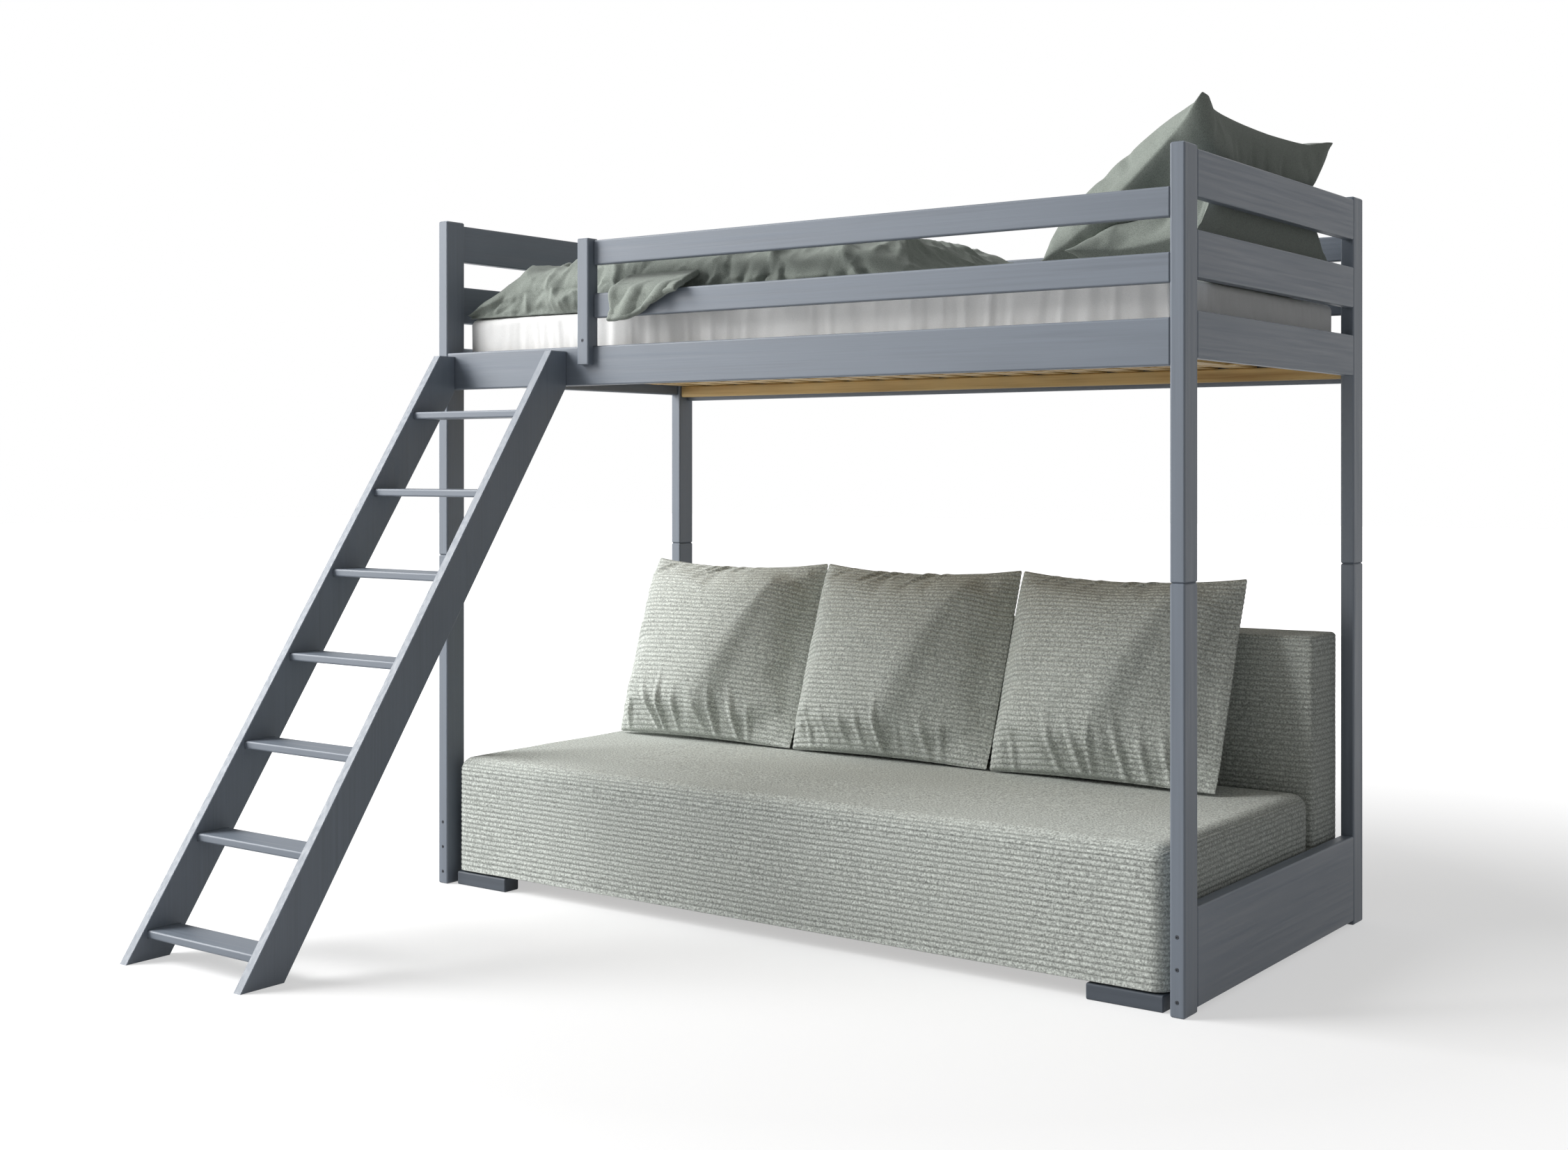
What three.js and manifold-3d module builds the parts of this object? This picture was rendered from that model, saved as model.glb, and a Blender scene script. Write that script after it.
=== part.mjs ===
// Loft bed with a pull-out sofa under it, in millimetres, +Z up.
// X runs along the bed, Y from the ladder side to the back, the origin is on the floor under the middle.
import * as THREE from 'three';
import * as BufferGeometryUtils from 'three/addons/utils/BufferGeometryUtils.js';
import Module from 'manifold-3d';

const wasm = await Module();
wasm.setup();

// Mattress, which sets the length and depth of the frame
const mattressLength = 1998;
const mattressDepth = 896;
const mattressHeight = 126;
const mattressEndGap = 9;
const mattressSideGap = 30;
const mattressRadius = 18;
const mattressCrown = [2, 3, 2];
const mattressCells = [9, 7, 5];

// Bed frame boards
const fit = 0.3;
const postHeight = 1716;
const postThickness = 32;
const postWidth = 62;
const postSplit = 851;
const sideRailThickness = 27;
const sideRailHeight = 95;
const sideRailBottom = 1278;
const guardRailThickness = 22;
const guardRailHeight = 60;
const guardTopRailBottom = 1570;
const guardMiddleRailBottom = 1441;
const guardPostWidth = 36;
const guardPostDepth = 37;
const guardPostLap = 20;
const guardPostDrop = 46;
const guardPostRise = 4;
const entryWidth = 470;
const endRailThickness = 24;
const endRailHeight = 95;
const endRailBottoms = { lower: 1294, middle: 1454, top: 1614 };
const endBoardThickness = postThickness;
const endBoardHeight = 199;
const endBoardBottom = 10;
const edgeRadius = 4;
const edgeChamfer = 2;
const grooveChamfer = 3;
const cutMargin = 1;

// Dowel that joins the two halves of a post
const dowelDiameter = 18;
const dowelLength = 60;
const dowelRoot = 40;

// Connector bolts
const boltDiameter = 5;
const boltLength = 100;
const boltHeadDiameter = 8;
const boltHeadHeight = 4;
const boltHeadChamfer = 0.8;
const boltSides = 8;
const boltSocketDiameter = 4;
const boltSocketDepth = 2;
const boltHeights = [31, 95, 159];
const guardBoltRise = 13;
const guardBoltLength = 28;

// Slats and the ledgers that carry them
const ledgerHeight = 32;
const ledgerDepth = 28;
const ledgerRise = 10;
const slatCount = 20;
const slatWidth = 62;
const slatThickness = 18;
const slatMatInset = 8.5;
const slatEndGap = 3;
const strapWidth = 30;
const strapThickness = 2;
const strapInset = 5;
const strapSink = 1;
const strapPlace = 300;

// Ladder
const stringerThickness = 24;
const stringerWidth = 93;
const stringerChamfer = 1.5;
const ladderInnerWidth = 364;
const ladderPostGap = 5;
const ladderLean = 34.1;
const ladderTop = 1363;
const ladderSeatHeight = 89;
const treadCount = 7;
const firstTreadTop = 66;
const topTreadDrop = 146;
const treadThickness = 18;
const treadDepth = 86;
const treadFrontInset = 9;
const treadHousing = 6;

// Sofa
const seatEndGap = 10;
const seatFrontSetback = 10;
const sofaBackSetback = 45;
const seatBottom = 34;
const seatTop = 337;
const seatApron = 50;
const seatRadius = 26;
const seatCrown = [3, 4, 7];
const seatCells = [11, 9, 7];
const deckTop = 171;
const deckThickness = 15;
const seatBoardThickness = 12;
const seatBoardInset = 10;
const backCushionThickness = 166;
const backCushionTop = 692;
const backCushionRadius = 14;
const backCushionCrown = [3, 4, 5];
const backCushionCells = [11, 7, 7];
const footWidth = 170;
const footDepth = 50;
const footEndInset = 11;
const footFrontInset = 6;
const baseBoardThickness = 25;
const baseRailHeight = 95;
const baseSetback = 105;
const cushionGap = 0.4;

// Throw pillows, which lean on the back cushion
const throwWidth = 592;
const throwHeight = 505;
const throwThickness = 165;
const throwGap = 3;
const throwLean = 20;
const throwShift = -46;
const throwStandOff = 112;
const throwSink = 4;
const throwDrawn = 0.08;

// How full a pillow is towards its edges, the half height of its seam, and its mesh
const pillowFullness = 0.42;
const pillowSeam = 2;
const pillowCells = 12;

// Bedding
const bedPillowWidth = 742;
const bedPillowHeight = 500;
const bedPillowThickness = 145;
const bedPillowLean = 41;
const bedPillowRise = 373.4;
const bedPillowShift = 16;
const bedPillowReach = 4;
const bedPillowDrawn = 0.09;
const lowPillowThickness = 150;
const lowPillowHeight = 300;
const lowPillowEndGap = 4;
const lowPillowSink = 10;
const lowPillowDrawn = 0.05;
const duvetThickness = 52;
const duvetHeap = 98;
const duvetEndInset = 9;
const duvetSideInset = 10;
const duvetPillowGap = 112;
const duvetCornerDraw = 0.04;
const duvetSideRoll = 0.82;
const duvetEndRoll = 0.8;
const duvetCells = [26, 12, 1];
const duvetFolds = [
  { height: 11, alongX: 62, alongY: 110 },
  { height: 8, alongX: 150, alongY: -70 },
];
const thinFolds = 0.25;

// The heap starts to slope down this far from the pillow end, and is a thin layer from the second value on
const heapSlopeStart = 357;
const heapSlopeEnd = 192;
const heapEndOverhang = 60;
const heapEndSlope = 90;

// The corner of the duvet that hangs over the middle guard rail
const flapPostGap = 66;
const flapWidth = 208;
const flapThickness = 16;
const flapTip = 1426;
const flapClear = 3;
const flapRoot = 14;
const flapRootHeight = 40;
const flapInnerBend = 8;
const flapOuterBend = 36;
const flapPoint = 24;
const flapSweepAlong = 110;
const flapSweepUp = 40;

// Places that follow from the sizes above
const frameLength = mattressLength + 2 * (mattressEndGap + postThickness);
const frameDepth = mattressDepth + 2 * (mattressSideGap + sideRailThickness);
const xPost = frameLength / 2 - postThickness;
const xOut = frameLength / 2;
const yOut = frameDepth / 2;
const yPost = yOut - postWidth;
const sideRailTop = sideRailBottom + sideRailHeight;
const ySide = yOut - sideRailThickness;
const ledgerBottom = sideRailBottom + ledgerRise;
const slatBottom = ledgerBottom + ledgerHeight + fit;
const mattressBottom = slatBottom + slatThickness + fit;
const mattressTop = mattressBottom + mattressHeight;
const xGuardLeft = entryWidth - xPost;
const xGuardRight = xGuardLeft + guardPostWidth;
const treadPitch = (ladderTop - topTreadDrop - firstTreadTop) / (treadCount - 1);
const slatPitch = (mattressLength - 2 * slatMatInset - slatWidth) / (slatCount - 1);

// Finishes
const paint = { color: 0x7d858f, roughness: 0.55, metalness: 0 };
const pine = { color: 0xb39466, roughness: 0.6, metalness: 0 };
const plywood = { color: 0xb99a6b, roughness: 0.65, metalness: 0 };
const corduroy = { color: 0x969d94, roughness: 0.95, metalness: 0 };
const sageCloth = { color: 0x8f988e, roughness: 0.9, metalness: 0 };
const whiteCloth = { color: 0xe6e6e3, roughness: 0.9, metalness: 0 };
const zinc = { color: 0x4a4e54, roughness: 0.4, metalness: 0.9 };

const model = new THREE.Group();

function add(name, geometry, finish, position = [0, 0, 0]) {
  const mesh = new THREE.Mesh(geometry, new THREE.MeshStandardMaterial(finish));
  mesh.name = name;
  mesh.position.set(...position);
  model.add(mesh);
}

function toSolid(geometry) {
  const bare = geometry.clone();
  bare.deleteAttribute('normal');
  bare.deleteAttribute('uv');
  const merged = BufferGeometryUtils.mergeVertices(bare, 1e-4);
  return new wasm.Manifold(new wasm.Mesh({
    numProp: 3,
    vertProperties: new Float32Array(merged.attributes.position.array),
    triVerts: new Uint32Array(merged.index.array),
  }));
}

function toGeometry(solid) {
  const mesh = solid.getMesh();
  const geometry = new THREE.BufferGeometry();
  geometry.setAttribute('position', new THREE.BufferAttribute(mesh.vertProperties, 3));
  geometry.setIndex(new THREE.BufferAttribute(mesh.triVerts, 1));
  geometry.computeVertexNormals();
  return geometry;
}

function roundedRectangle(width, height, radius) {
  const shape = new THREE.Shape();
  const x = width / 2;
  const y = height / 2;
  shape.moveTo(radius - x, -y);
  shape.lineTo(x - radius, -y);
  shape.absarc(x - radius, radius - y, radius, -Math.PI / 2, 0);
  shape.lineTo(x, y - radius);
  shape.absarc(x - radius, y - radius, radius, 0, Math.PI / 2);
  shape.lineTo(radius - x, y);
  shape.absarc(radius - x, y - radius, radius, Math.PI / 2, Math.PI);
  shape.lineTo(-x, radius - y);
  shape.absarc(radius - x, radius - y, radius, Math.PI, 1.5 * Math.PI);
  return shape;
}

// A planed board between two corners, its long edges rounded and its ends chamfered
function boardGeometry(low, high, along, chamfer = edgeChamfer) {
  const size = high.map((value, axis) => value - low[axis]);
  const middle = high.map((value, axis) => (value + low[axis]) / 2);
  const section = { x: [2, 1], y: [0, 2], z: [0, 1] }[along];
  const length = size[{ x: 0, y: 1, z: 2 }[along]];
  const thin = Math.min(size[section[0]], size[section[1]]);
  const radius = Math.min(edgeRadius, thin / 3);
  const cut = Math.min(chamfer, radius * 0.75);
  const geometry = new THREE.ExtrudeGeometry(roundedRectangle(size[section[0]], size[section[1]], radius), {
    depth: length - 2 * cut,
    steps: 1,
    curveSegments: 2,
    bevelEnabled: true,
    bevelThickness: cut,
    bevelSize: cut,
    bevelOffset: -cut,
    bevelSegments: 1,
  });
  geometry.translate(0, 0, cut - length / 2);
  if (along === 'x') geometry.rotateY(Math.PI / 2);
  if (along === 'y') geometry.rotateX(Math.PI / 2);
  geometry.translate(...middle);
  return geometry;
}

function blockGeometry(low, high) {
  const size = high.map((value, axis) => value - low[axis]);
  const geometry = new THREE.BoxGeometry(...size);
  geometry.translate(...high.map((value, axis) => (value + low[axis]) / 2));
  return geometry;
}

function cylinderAlongZ(diameter, bottom, top, x, y) {
  const geometry = new THREE.CylinderGeometry(diameter / 2, diameter / 2, top - bottom, 16);
  geometry.rotateX(Math.PI / 2);
  geometry.translate(x, y, (top + bottom) / 2);
  return geometry;
}

function cylinderAlongY(diameter, front, back, x, z) {
  const geometry = new THREE.CylinderGeometry(diameter / 2, diameter / 2, back - front, 12);
  geometry.translate(x, (front + back) / 2, z);
  return geometry;
}

function boltHole(x, front, z, length) {
  const start = front - cutMargin;
  const hole = toSolid(cylinderAlongY(boltDiameter + 2 * fit, start, front + length + fit, x, z));
  const seat = toSolid(cylinderAlongY(boltHeadDiameter + 2 * fit, start, front + boltHeadHeight + fit, x, z));
  return hole.add(seat);
}

// A bolt along Y, its head flush with the face at front
function addBolt(name, x, front, z, length) {
  const head = boltHeadDiameter / 2;
  const shank = boltDiameter / 2;
  const socket = boltSocketDiameter / 2;
  const profile = [
    new THREE.Vector2(0, length),
    new THREE.Vector2(shank, length),
    new THREE.Vector2(shank, boltHeadHeight),
    new THREE.Vector2(head, boltHeadHeight),
    new THREE.Vector2(head, boltHeadChamfer),
    new THREE.Vector2(head - boltHeadChamfer, 0),
    new THREE.Vector2(socket, 0),
    new THREE.Vector2(socket, boltSocketDepth),
    new THREE.Vector2(0, boltSocketDepth),
  ];
  const geometry = new THREE.LatheGeometry(profile.reverse(), boltSides);
  add(name, geometry, zinc, [x, front, z]);
}

// The four posts, each in two halves with a dowel on the lower one
const xBolt = xOut - endBoardThickness / 2;

function addPosts() {
  for (const [sideName, side] of [['left', -1], ['right', 1]]) {
    for (const [rowName, row] of [['front', -1], ['back', 1]]) {
      const x = side * (xPost + postThickness / 2);
      const y = row * (yPost + postWidth / 2);
      const low = [x - postThickness / 2, y - postWidth / 2];
      const high = [x + postThickness / 2, y + postWidth / 2];
      let lower = toSolid(boardGeometry([...low, 0], [...high, postSplit - fit / 2], 'z', grooveChamfer));
      const dowelTop = postSplit + dowelLength;
      lower = lower.add(toSolid(cylinderAlongZ(dowelDiameter, postSplit - dowelRoot, dowelTop, x, y)));
      let upper = toSolid(boardGeometry([...low, postSplit + fit / 2], [...high, postHeight], 'z', grooveChamfer));
      const bore = cylinderAlongZ(dowelDiameter + 2 * fit, postSplit - cutMargin, dowelTop + fit, x, y);
      upper = upper.subtract(toSolid(bore));
      if (rowName === 'front') {
        for (const z of boltHeights) {
          lower = lower.subtract(boltHole(side * xBolt, -yOut, z, boltLength));
        }
      }
      add(`post_${rowName}_${sideName}_lower`, toGeometry(lower), paint);
      add(`post_${rowName}_${sideName}_upper`, toGeometry(upper), paint);
    }
  }
}

function addSideRails() {
  const x = xPost - fit;
  const top = sideRailTop;
  const front = boardGeometry([-x, -yOut, sideRailBottom], [x, -ySide, top], 'x');
  add('side_rail_front', front, paint);
  add('side_rail_back', boardGeometry([-x, ySide, sideRailBottom], [x, yOut, top], 'x'), paint);
}

// The short post beside the ladder opening stands on the rail and laps over its front
function addGuardPost() {
  const front = -yOut - guardPostLap;
  const low = [xGuardLeft, front, sideRailTop - guardPostDrop];
  const top = guardTopRailBottom + guardRailHeight + guardPostRise;
  const high = [xGuardRight, front + guardPostDepth, top];
  const notch = blockGeometry(
    [xGuardLeft - cutMargin, -yOut - fit, low[2] - cutMargin],
    [xGuardRight + cutMargin, high[1] + cutMargin, sideRailTop + fit],
  );
  const z = sideRailTop + guardBoltRise;
  const x = (xGuardLeft + xGuardRight) / 2;
  let post = toSolid(boardGeometry(low, high, 'z')).subtract(toSolid(notch));
  post = post.subtract(boltHole(x, front, z, guardBoltLength));
  add('guard_post', toGeometry(post), paint);
  addBolt('guard_post_bolt', x, front, z, guardBoltLength);
}

function addGuardRails() {
  const levels = { top: guardTopRailBottom, middle: guardMiddleRailBottom };
  for (const [name, bottom] of Object.entries(levels)) {
    const top = bottom + guardRailHeight;
    const right = xPost - fit;
    const frontLow = [xGuardRight + fit, -yOut, bottom];
    const frontHigh = [right, guardRailThickness - yOut, top];
    add(`guard_rail_front_${name}`, boardGeometry(frontLow, frontHigh, 'x'), paint);
    const backLow = [-right, yOut - guardRailThickness, bottom];
    add(`guard_rail_back_${name}`, boardGeometry(backLow, [right, yOut, top], 'x'), paint);
  }
}

// Boards across each end, flush with the outside of the posts
function addEnds() {
  const y = yPost - fit;
  for (const [sideName, side] of [['left', -1], ['right', 1]]) {
    for (const [name, bottom] of Object.entries(endRailBottoms)) {
      const inner = side * (xOut - endRailThickness);
      const low = [Math.min(inner, side * xOut), -y, bottom];
      const high = [Math.max(inner, side * xOut), y, bottom + endRailHeight];
      add(`end_rail_${sideName}_${name}`, boardGeometry(low, high, 'y'), paint);
    }
    const inner = side * (xOut - endBoardThickness);
    const low = [Math.min(inner, side * xOut), -y, endBoardBottom];
    const high = [Math.max(inner, side * xOut), y, endBoardBottom + endBoardHeight];
    let board = toSolid(boardGeometry(low, high, 'y'));
    boltHeights.forEach((z, index) => {
      board = board.subtract(boltHole(side * xBolt, -yOut, z, boltLength));
      addBolt(`end_board_bolt_${sideName}_${index + 1}`, side * xBolt, -yOut, z, boltLength);
    });
    add(`end_board_${sideName}`, toGeometry(board), paint);
  }
}

function addLedgers() {
  const x = xPost - fit;
  const inner = ySide - fit;
  const top = ledgerBottom + ledgerHeight;
  const front = boardGeometry([-x, -inner, ledgerBottom], [x, ledgerDepth - inner, top], 'x');
  add('slat_ledger_front', front, pine);
  const back = boardGeometry([-x, inner - ledgerDepth, ledgerBottom], [x, inner, top], 'x');
  add('slat_ledger_back', back, pine);
}

// The slats are stapled to two straps, so the whole mat rolls up
function addSlatMat() {
  const y = ySide - slatEndGap;
  const first = -slatPitch * (slatCount - 1) / 2;
  const low = slatBottom;
  const high = slatBottom + slatThickness;
  const strapEnd = slatWidth / 2 - strapInset - first;
  let mat = null;
  for (const side of [-1, 1]) {
    const middle = side * strapPlace;
    const strap = toSolid(blockGeometry(
      [-strapEnd, middle - strapWidth / 2, low - strapSink],
      [strapEnd, middle + strapWidth / 2, low - strapSink + strapThickness],
    ));
    mat = mat ? mat.add(strap) : strap;
  }
  for (let index = 0; index < slatCount; index += 1) {
    const x = first + index * slatPitch;
    const slat = blockGeometry([x - slatWidth / 2, -y, low], [x + slatWidth / 2, y, high]);
    mat = mat.add(toSolid(slat));
  }
  add('slat_mat', toGeometry(mat), pine);
}

// Ladder stringers are cut level at the floor and the top, and upright where they meet the rail
const lean = THREE.MathUtils.degToRad(ladderLean);
const levelWidth = stringerWidth / Math.cos(lean);
const ySeat = -yOut - fit;
const zSeatBottom = ladderTop - ladderSeatHeight;
const backAtFloor = ySeat - zSeatBottom * Math.tan(lean);
const xStringerLeft = ladderPostGap - xPost;

function stringerFront(z) {
  return backAtFloor - levelWidth + z * Math.tan(lean);
}

function treadBlock(index, grow) {
  const top = firstTreadTop + index * treadPitch;
  const treadFront = stringerFront(top) + treadFrontInset;
  const left = xStringerLeft + stringerThickness - treadHousing - grow;
  const right = xStringerLeft + stringerThickness + ladderInnerWidth + treadHousing + grow;
  const front = treadFront - grow;
  const back = treadFront + treadDepth + grow;
  return [[left, front, top - treadThickness - grow], [right, back, top + grow]];
}

function addLadder() {
  const outline = new THREE.Shape([
    new THREE.Vector2(backAtFloor - levelWidth, 0),
    new THREE.Vector2(backAtFloor, 0),
    new THREE.Vector2(ySeat, zSeatBottom),
    new THREE.Vector2(ySeat, ladderTop),
    new THREE.Vector2(stringerFront(ladderTop), ladderTop),
  ]);
  for (const [name, step] of [['left', 0], ['right', stringerThickness + ladderInnerWidth]]) {
    const geometry = new THREE.ExtrudeGeometry(outline, {
      depth: stringerThickness - 2 * stringerChamfer,
      steps: 1,
      bevelEnabled: true,
      bevelThickness: stringerChamfer,
      bevelSize: stringerChamfer,
      bevelOffset: -stringerChamfer,
      bevelSegments: 1,
    });
    // The outline's first axis is Y and its second is Z, so it is stood up and turned to run along X
    geometry.rotateX(Math.PI / 2);
    geometry.rotateZ(Math.PI / 2);
    geometry.translate(xStringerLeft + step + stringerChamfer, 0, 0);
    let stringer = toSolid(geometry);
    for (let index = 0; index < treadCount; index += 1) {
      stringer = stringer.subtract(toSolid(blockGeometry(...treadBlock(index, fit))));
    }
    add(`ladder_stringer_${name}`, toGeometry(stringer), paint);
  }
  for (let index = 0; index < treadCount; index += 1) {
    const [low, high] = treadBlock(index, 0);
    add(`ladder_tread_${index + 1}`, boardGeometry(low, high, 'x'), paint);
  }
}

// A cushion block: rounded edges, a crown on every face but the flat one that it rests on
function cushionGeometry(low, high, radius, crown, cells) {
  const size = high.map((value, axis) => value - low[axis]);
  const middle = high.map((value, axis) => (value + low[axis]) / 2);
  const geometry = new THREE.BoxGeometry(2, 2, 2, ...cells);
  const position = geometry.attributes.position;
  const point = [0, 0, 0];
  for (let index = 0; index < position.count; index += 1) {
    const share = [position.getX(index), position.getY(index), position.getZ(index)];
    const inner = [0, 0, 0];
    let distance = 0;
    for (let axis = 0; axis < 3; axis += 1) {
      const half = size[axis] / 2;
      const edge = 2 / cells[axis];
      const reach = Math.abs(share[axis]);
      const band = Math.min(2, Math.floor((cells[axis] - 1) / 2)) * edge;
      const flat = half - radius;
      const out = reach > 1 - band
        ? flat + radius * Math.tan((reach - 1 + band) / band * Math.PI / 4)
        : flat * reach / (1 - band);
      point[axis] = Math.sign(share[axis]) * out;
      inner[axis] = Math.sign(share[axis]) * Math.min(out, flat);
      distance += (point[axis] - inner[axis]) ** 2;
    }
    distance = Math.sqrt(distance);
    for (let axis = 0; axis < 3; axis += 1) {
      const pull = distance > 0 ? radius / distance : 1;
      point[axis] = inner[axis] + (point[axis] - inner[axis]) * Math.min(pull, 1);
    }
    const rests = point[2] < radius - size[2] / 2;
    for (let axis = 0; axis < (rests ? 2 : 3); axis += 1) {
      const others = [0, 1, 2].filter((other) => other !== axis);
      const [a, b] = others.map((other) => Math.min(1, Math.abs(inner[other]) / (size[other] / 2 - radius)));
      const swell = crown[axis] * (1 - a ** 2) * (1 - b ** 2);
      const share2 = Math.min(1, Math.abs(point[axis]) / (size[axis] / 2));
      point[axis] -= Math.sign(point[axis]) * share2 * (crown[axis] - swell);
    }
    position.setXYZ(index, ...point);
  }
  geometry.translate(...middle);
  return geometry;
}

// The sofa stands on its own low base between the end boards
const xSeat = xPost - seatEndGap;
const seatFront = seatFrontSetback - yOut;
const seatDepth = frameDepth - seatFrontSetback - sofaBackSetback - backCushionThickness;
const seatBack = seatFront + seatDepth;
const apronBack = seatFront + seatApron;
const seatBoardFront = apronBack + cushionGap;
const baseFront = seatBoardFront + baseSetback;
const backCushionFront = seatBack + cushionGap;
const backCushionBack = backCushionFront + backCushionThickness;
const xBase = xPost - fit;

function addSofaBase() {
  const top = deckTop - deckThickness - fit;
  for (const [name, side] of [['left', -1], ['right', 1]]) {
    const inner = side * (xBase - baseBoardThickness);
    const low = [Math.min(inner, side * xBase), baseFront, 0];
    const high = [Math.max(inner, side * xBase), backCushionBack, top];
    add(`sofa_base_side_${name}`, boardGeometry(low, high, 'y'), pine);
  }
  const x = xBase - baseBoardThickness - fit;
  for (const [name, front] of [['front', baseFront], ['back', backCushionBack - baseBoardThickness]]) {
    const low = [-x, front, top - baseRailHeight];
    const high = [x, front + baseBoardThickness, top];
    add(`sofa_base_rail_${name}`, boardGeometry(low, high, 'x'), pine);
  }
  const half = baseBoardThickness / 2;
  const middleFront = baseFront + baseBoardThickness + fit;
  const middleBack = backCushionBack - baseBoardThickness - fit;
  add('sofa_base_middle', boardGeometry([-half, middleFront, 0], [half, middleBack, top], 'y'), pine);
  const deckLow = [-xBase, baseFront, deckTop - deckThickness];
  add('sofa_deck', boardGeometry(deckLow, [xBase, backCushionBack, deckTop], 'x'), plywood);
}

// The moving seat: an L-shaped board, two feet at its front and the cushion over both
function addSeat() {
  const x = xSeat - seatBoardInset;
  const boardBottom = deckTop + fit;
  const boardTop = boardBottom + seatBoardThickness;
  const panel = blockGeometry([-x, seatBoardFront, boardBottom], [x, seatBack, boardTop]);
  const frontHigh = [x, seatBoardFront + seatBoardThickness, boardBottom + cutMargin];
  const front = blockGeometry([-x, seatBoardFront, seatBottom + fit], frontHigh);
  add('seat_board', toGeometry(toSolid(panel).add(toSolid(front))), plywood);

  const low = [-xSeat, seatFront, seatBottom + cushionGap];
  const high = [xSeat, seatBack, seatTop];
  const cushion = toSolid(cushionGeometry(low, high, seatRadius, seatCrown, seatCells));
  const under = blockGeometry(
    [-xSeat - cutMargin, apronBack, low[2] - cutMargin],
    [xSeat + cutMargin, seatBack + cutMargin, boardTop + cushionGap],
  );
  const seat = cushion.subtract(toSolid(under));
  add('seat_cushion', toGeometry(seat), corduroy);

  for (const [name, side] of [['left', -1], ['right', 1]]) {
    const outer = side * (xSeat - footEndInset);
    const inner = outer - side * footWidth;
    const footLow = [Math.min(inner, outer), seatFront + footFrontInset, 0];
    const footHigh = [Math.max(inner, outer), footLow[1] + footDepth, seatBottom];
    add(`seat_foot_${name}`, boardGeometry(footLow, footHigh, 'x'), paint);
  }
  return seat;
}

function addBackCushion() {
  const low = [-xSeat, backCushionFront, deckTop + cushionGap];
  const high = [xSeat, backCushionBack, backCushionTop];
  const geometry = cushionGeometry(low, high, backCushionRadius, backCushionCrown, backCushionCells);
  add('back_cushion', geometry, corduroy);
  return toSolid(geometry);
}

// A pillow lies in X and Y with its thickness along Z: pointed corners, sides drawn in, full middle
function pillowGeometry(width, height, thickness, drawn) {
  const geometry = new THREE.BoxGeometry(2, 2, 2, pillowCells, pillowCells, 1);
  const position = geometry.attributes.position;
  for (let index = 0; index < position.count; index += 1) {
    const u = Math.sin(position.getX(index) * Math.PI / 2);
    const v = Math.sin(position.getY(index) * Math.PI / 2);
    const side = Math.sign(position.getZ(index));
    const fullness = ((1 - u ** 2) * (1 - v ** 2)) ** pillowFullness;
    position.setXYZ(
      index,
      width / 2 * u * (1 - drawn * (1 - v ** 2)),
      height / 2 * v * (1 - drawn * (1 - u ** 2)),
      side * (pillowSeam + (thickness / 2 - pillowSeam) * fullness),
    );
  }
  return geometry;
}

// Turns a form about X, Y and Z and moves its middle to a place
function placed(form, turns, place) {
  const matrix = new THREE.Matrix4().makeRotationFromEuler(new THREE.Euler(...turns));
  matrix.setPosition(...place);
  return form.clone().applyMatrix4(matrix);
}

// The pillows stand on the seat, lean on the back cushion and flatten where they touch
function addThrowPillows(seat, back) {
  const tilt = THREE.MathUtils.degToRad(90 - throwLean);
  const y = backCushionFront - throwStandOff;
  const z = seatTop + throwHeight / 2 * Math.sin(tilt) - throwSink;
  const under = seat.translate(0, 0, cushionGap);
  const behind = back.translate(0, -cushionGap, 0);
  ['left', 'middle', 'right'].forEach((name, index) => {
    const x = throwShift + (index - 1) * (throwWidth + throwGap);
    const form = pillowGeometry(throwWidth, throwHeight, throwThickness, throwDrawn);
    const pillow = toSolid(placed(form, [tilt, 0, 0], [x, y, z]));
    add(`throw_pillow_${name}`, toGeometry(pillow.subtract(under).subtract(behind)), corduroy);
  });
}

function addMattress() {
  const x = mattressLength / 2;
  const y = mattressDepth / 2;
  const low = [-x, -y, mattressBottom];
  const geometry = cushionGeometry(low, [x, y, mattressTop], mattressRadius, mattressCrown, mattressCells);
  add('mattress', geometry, whiteCloth);
  return toSolid(geometry).translate(0, 0, cushionGap);
}

// One pillow lies at the head end, the other leans over it against the end rails
const xLowPillow = xPost - lowPillowEndGap - lowPillowHeight;

function addBedPillows(mattress) {
  const lowForm = pillowGeometry(lowPillowHeight, bedPillowWidth, lowPillowThickness, lowPillowDrawn);
  const xLow = xLowPillow + lowPillowHeight / 2;
  const zLow = mattressTop + lowPillowThickness / 2 - lowPillowSink;
  const lower = toSolid(placed(lowForm, [0, 0, 0], [xLow, 0, zLow])).subtract(mattress);
  add('bed_pillow_lower', toGeometry(lower), sageCloth);

  const slope = THREE.MathUtils.degToRad(bedPillowLean);
  const x = xPost + bedPillowReach - bedPillowHeight / 2 * Math.cos(slope);
  const z = mattressTop + bedPillowRise - bedPillowHeight / 2 * Math.sin(slope);
  const form = pillowGeometry(bedPillowHeight, bedPillowWidth, bedPillowThickness, bedPillowDrawn);
  const upper = toSolid(placed(form, [0, -slope, 0], [x, bedPillowShift, z]));
  const rest = lower.translate(-cushionGap, 0, cushionGap).add(lower);
  add('bed_pillow_upper', toGeometry(upper.subtract(rest).subtract(mattress)), sageCloth);
}

// The duvet, full on the left and a thin layer towards the pillows
const duvetDepth = mattressDepth - 2 * duvetSideInset;
const duvetLeft = duvetEndInset - mattressLength / 2;
const duvetRight = xLowPillow - duvetPillowGap;

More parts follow.
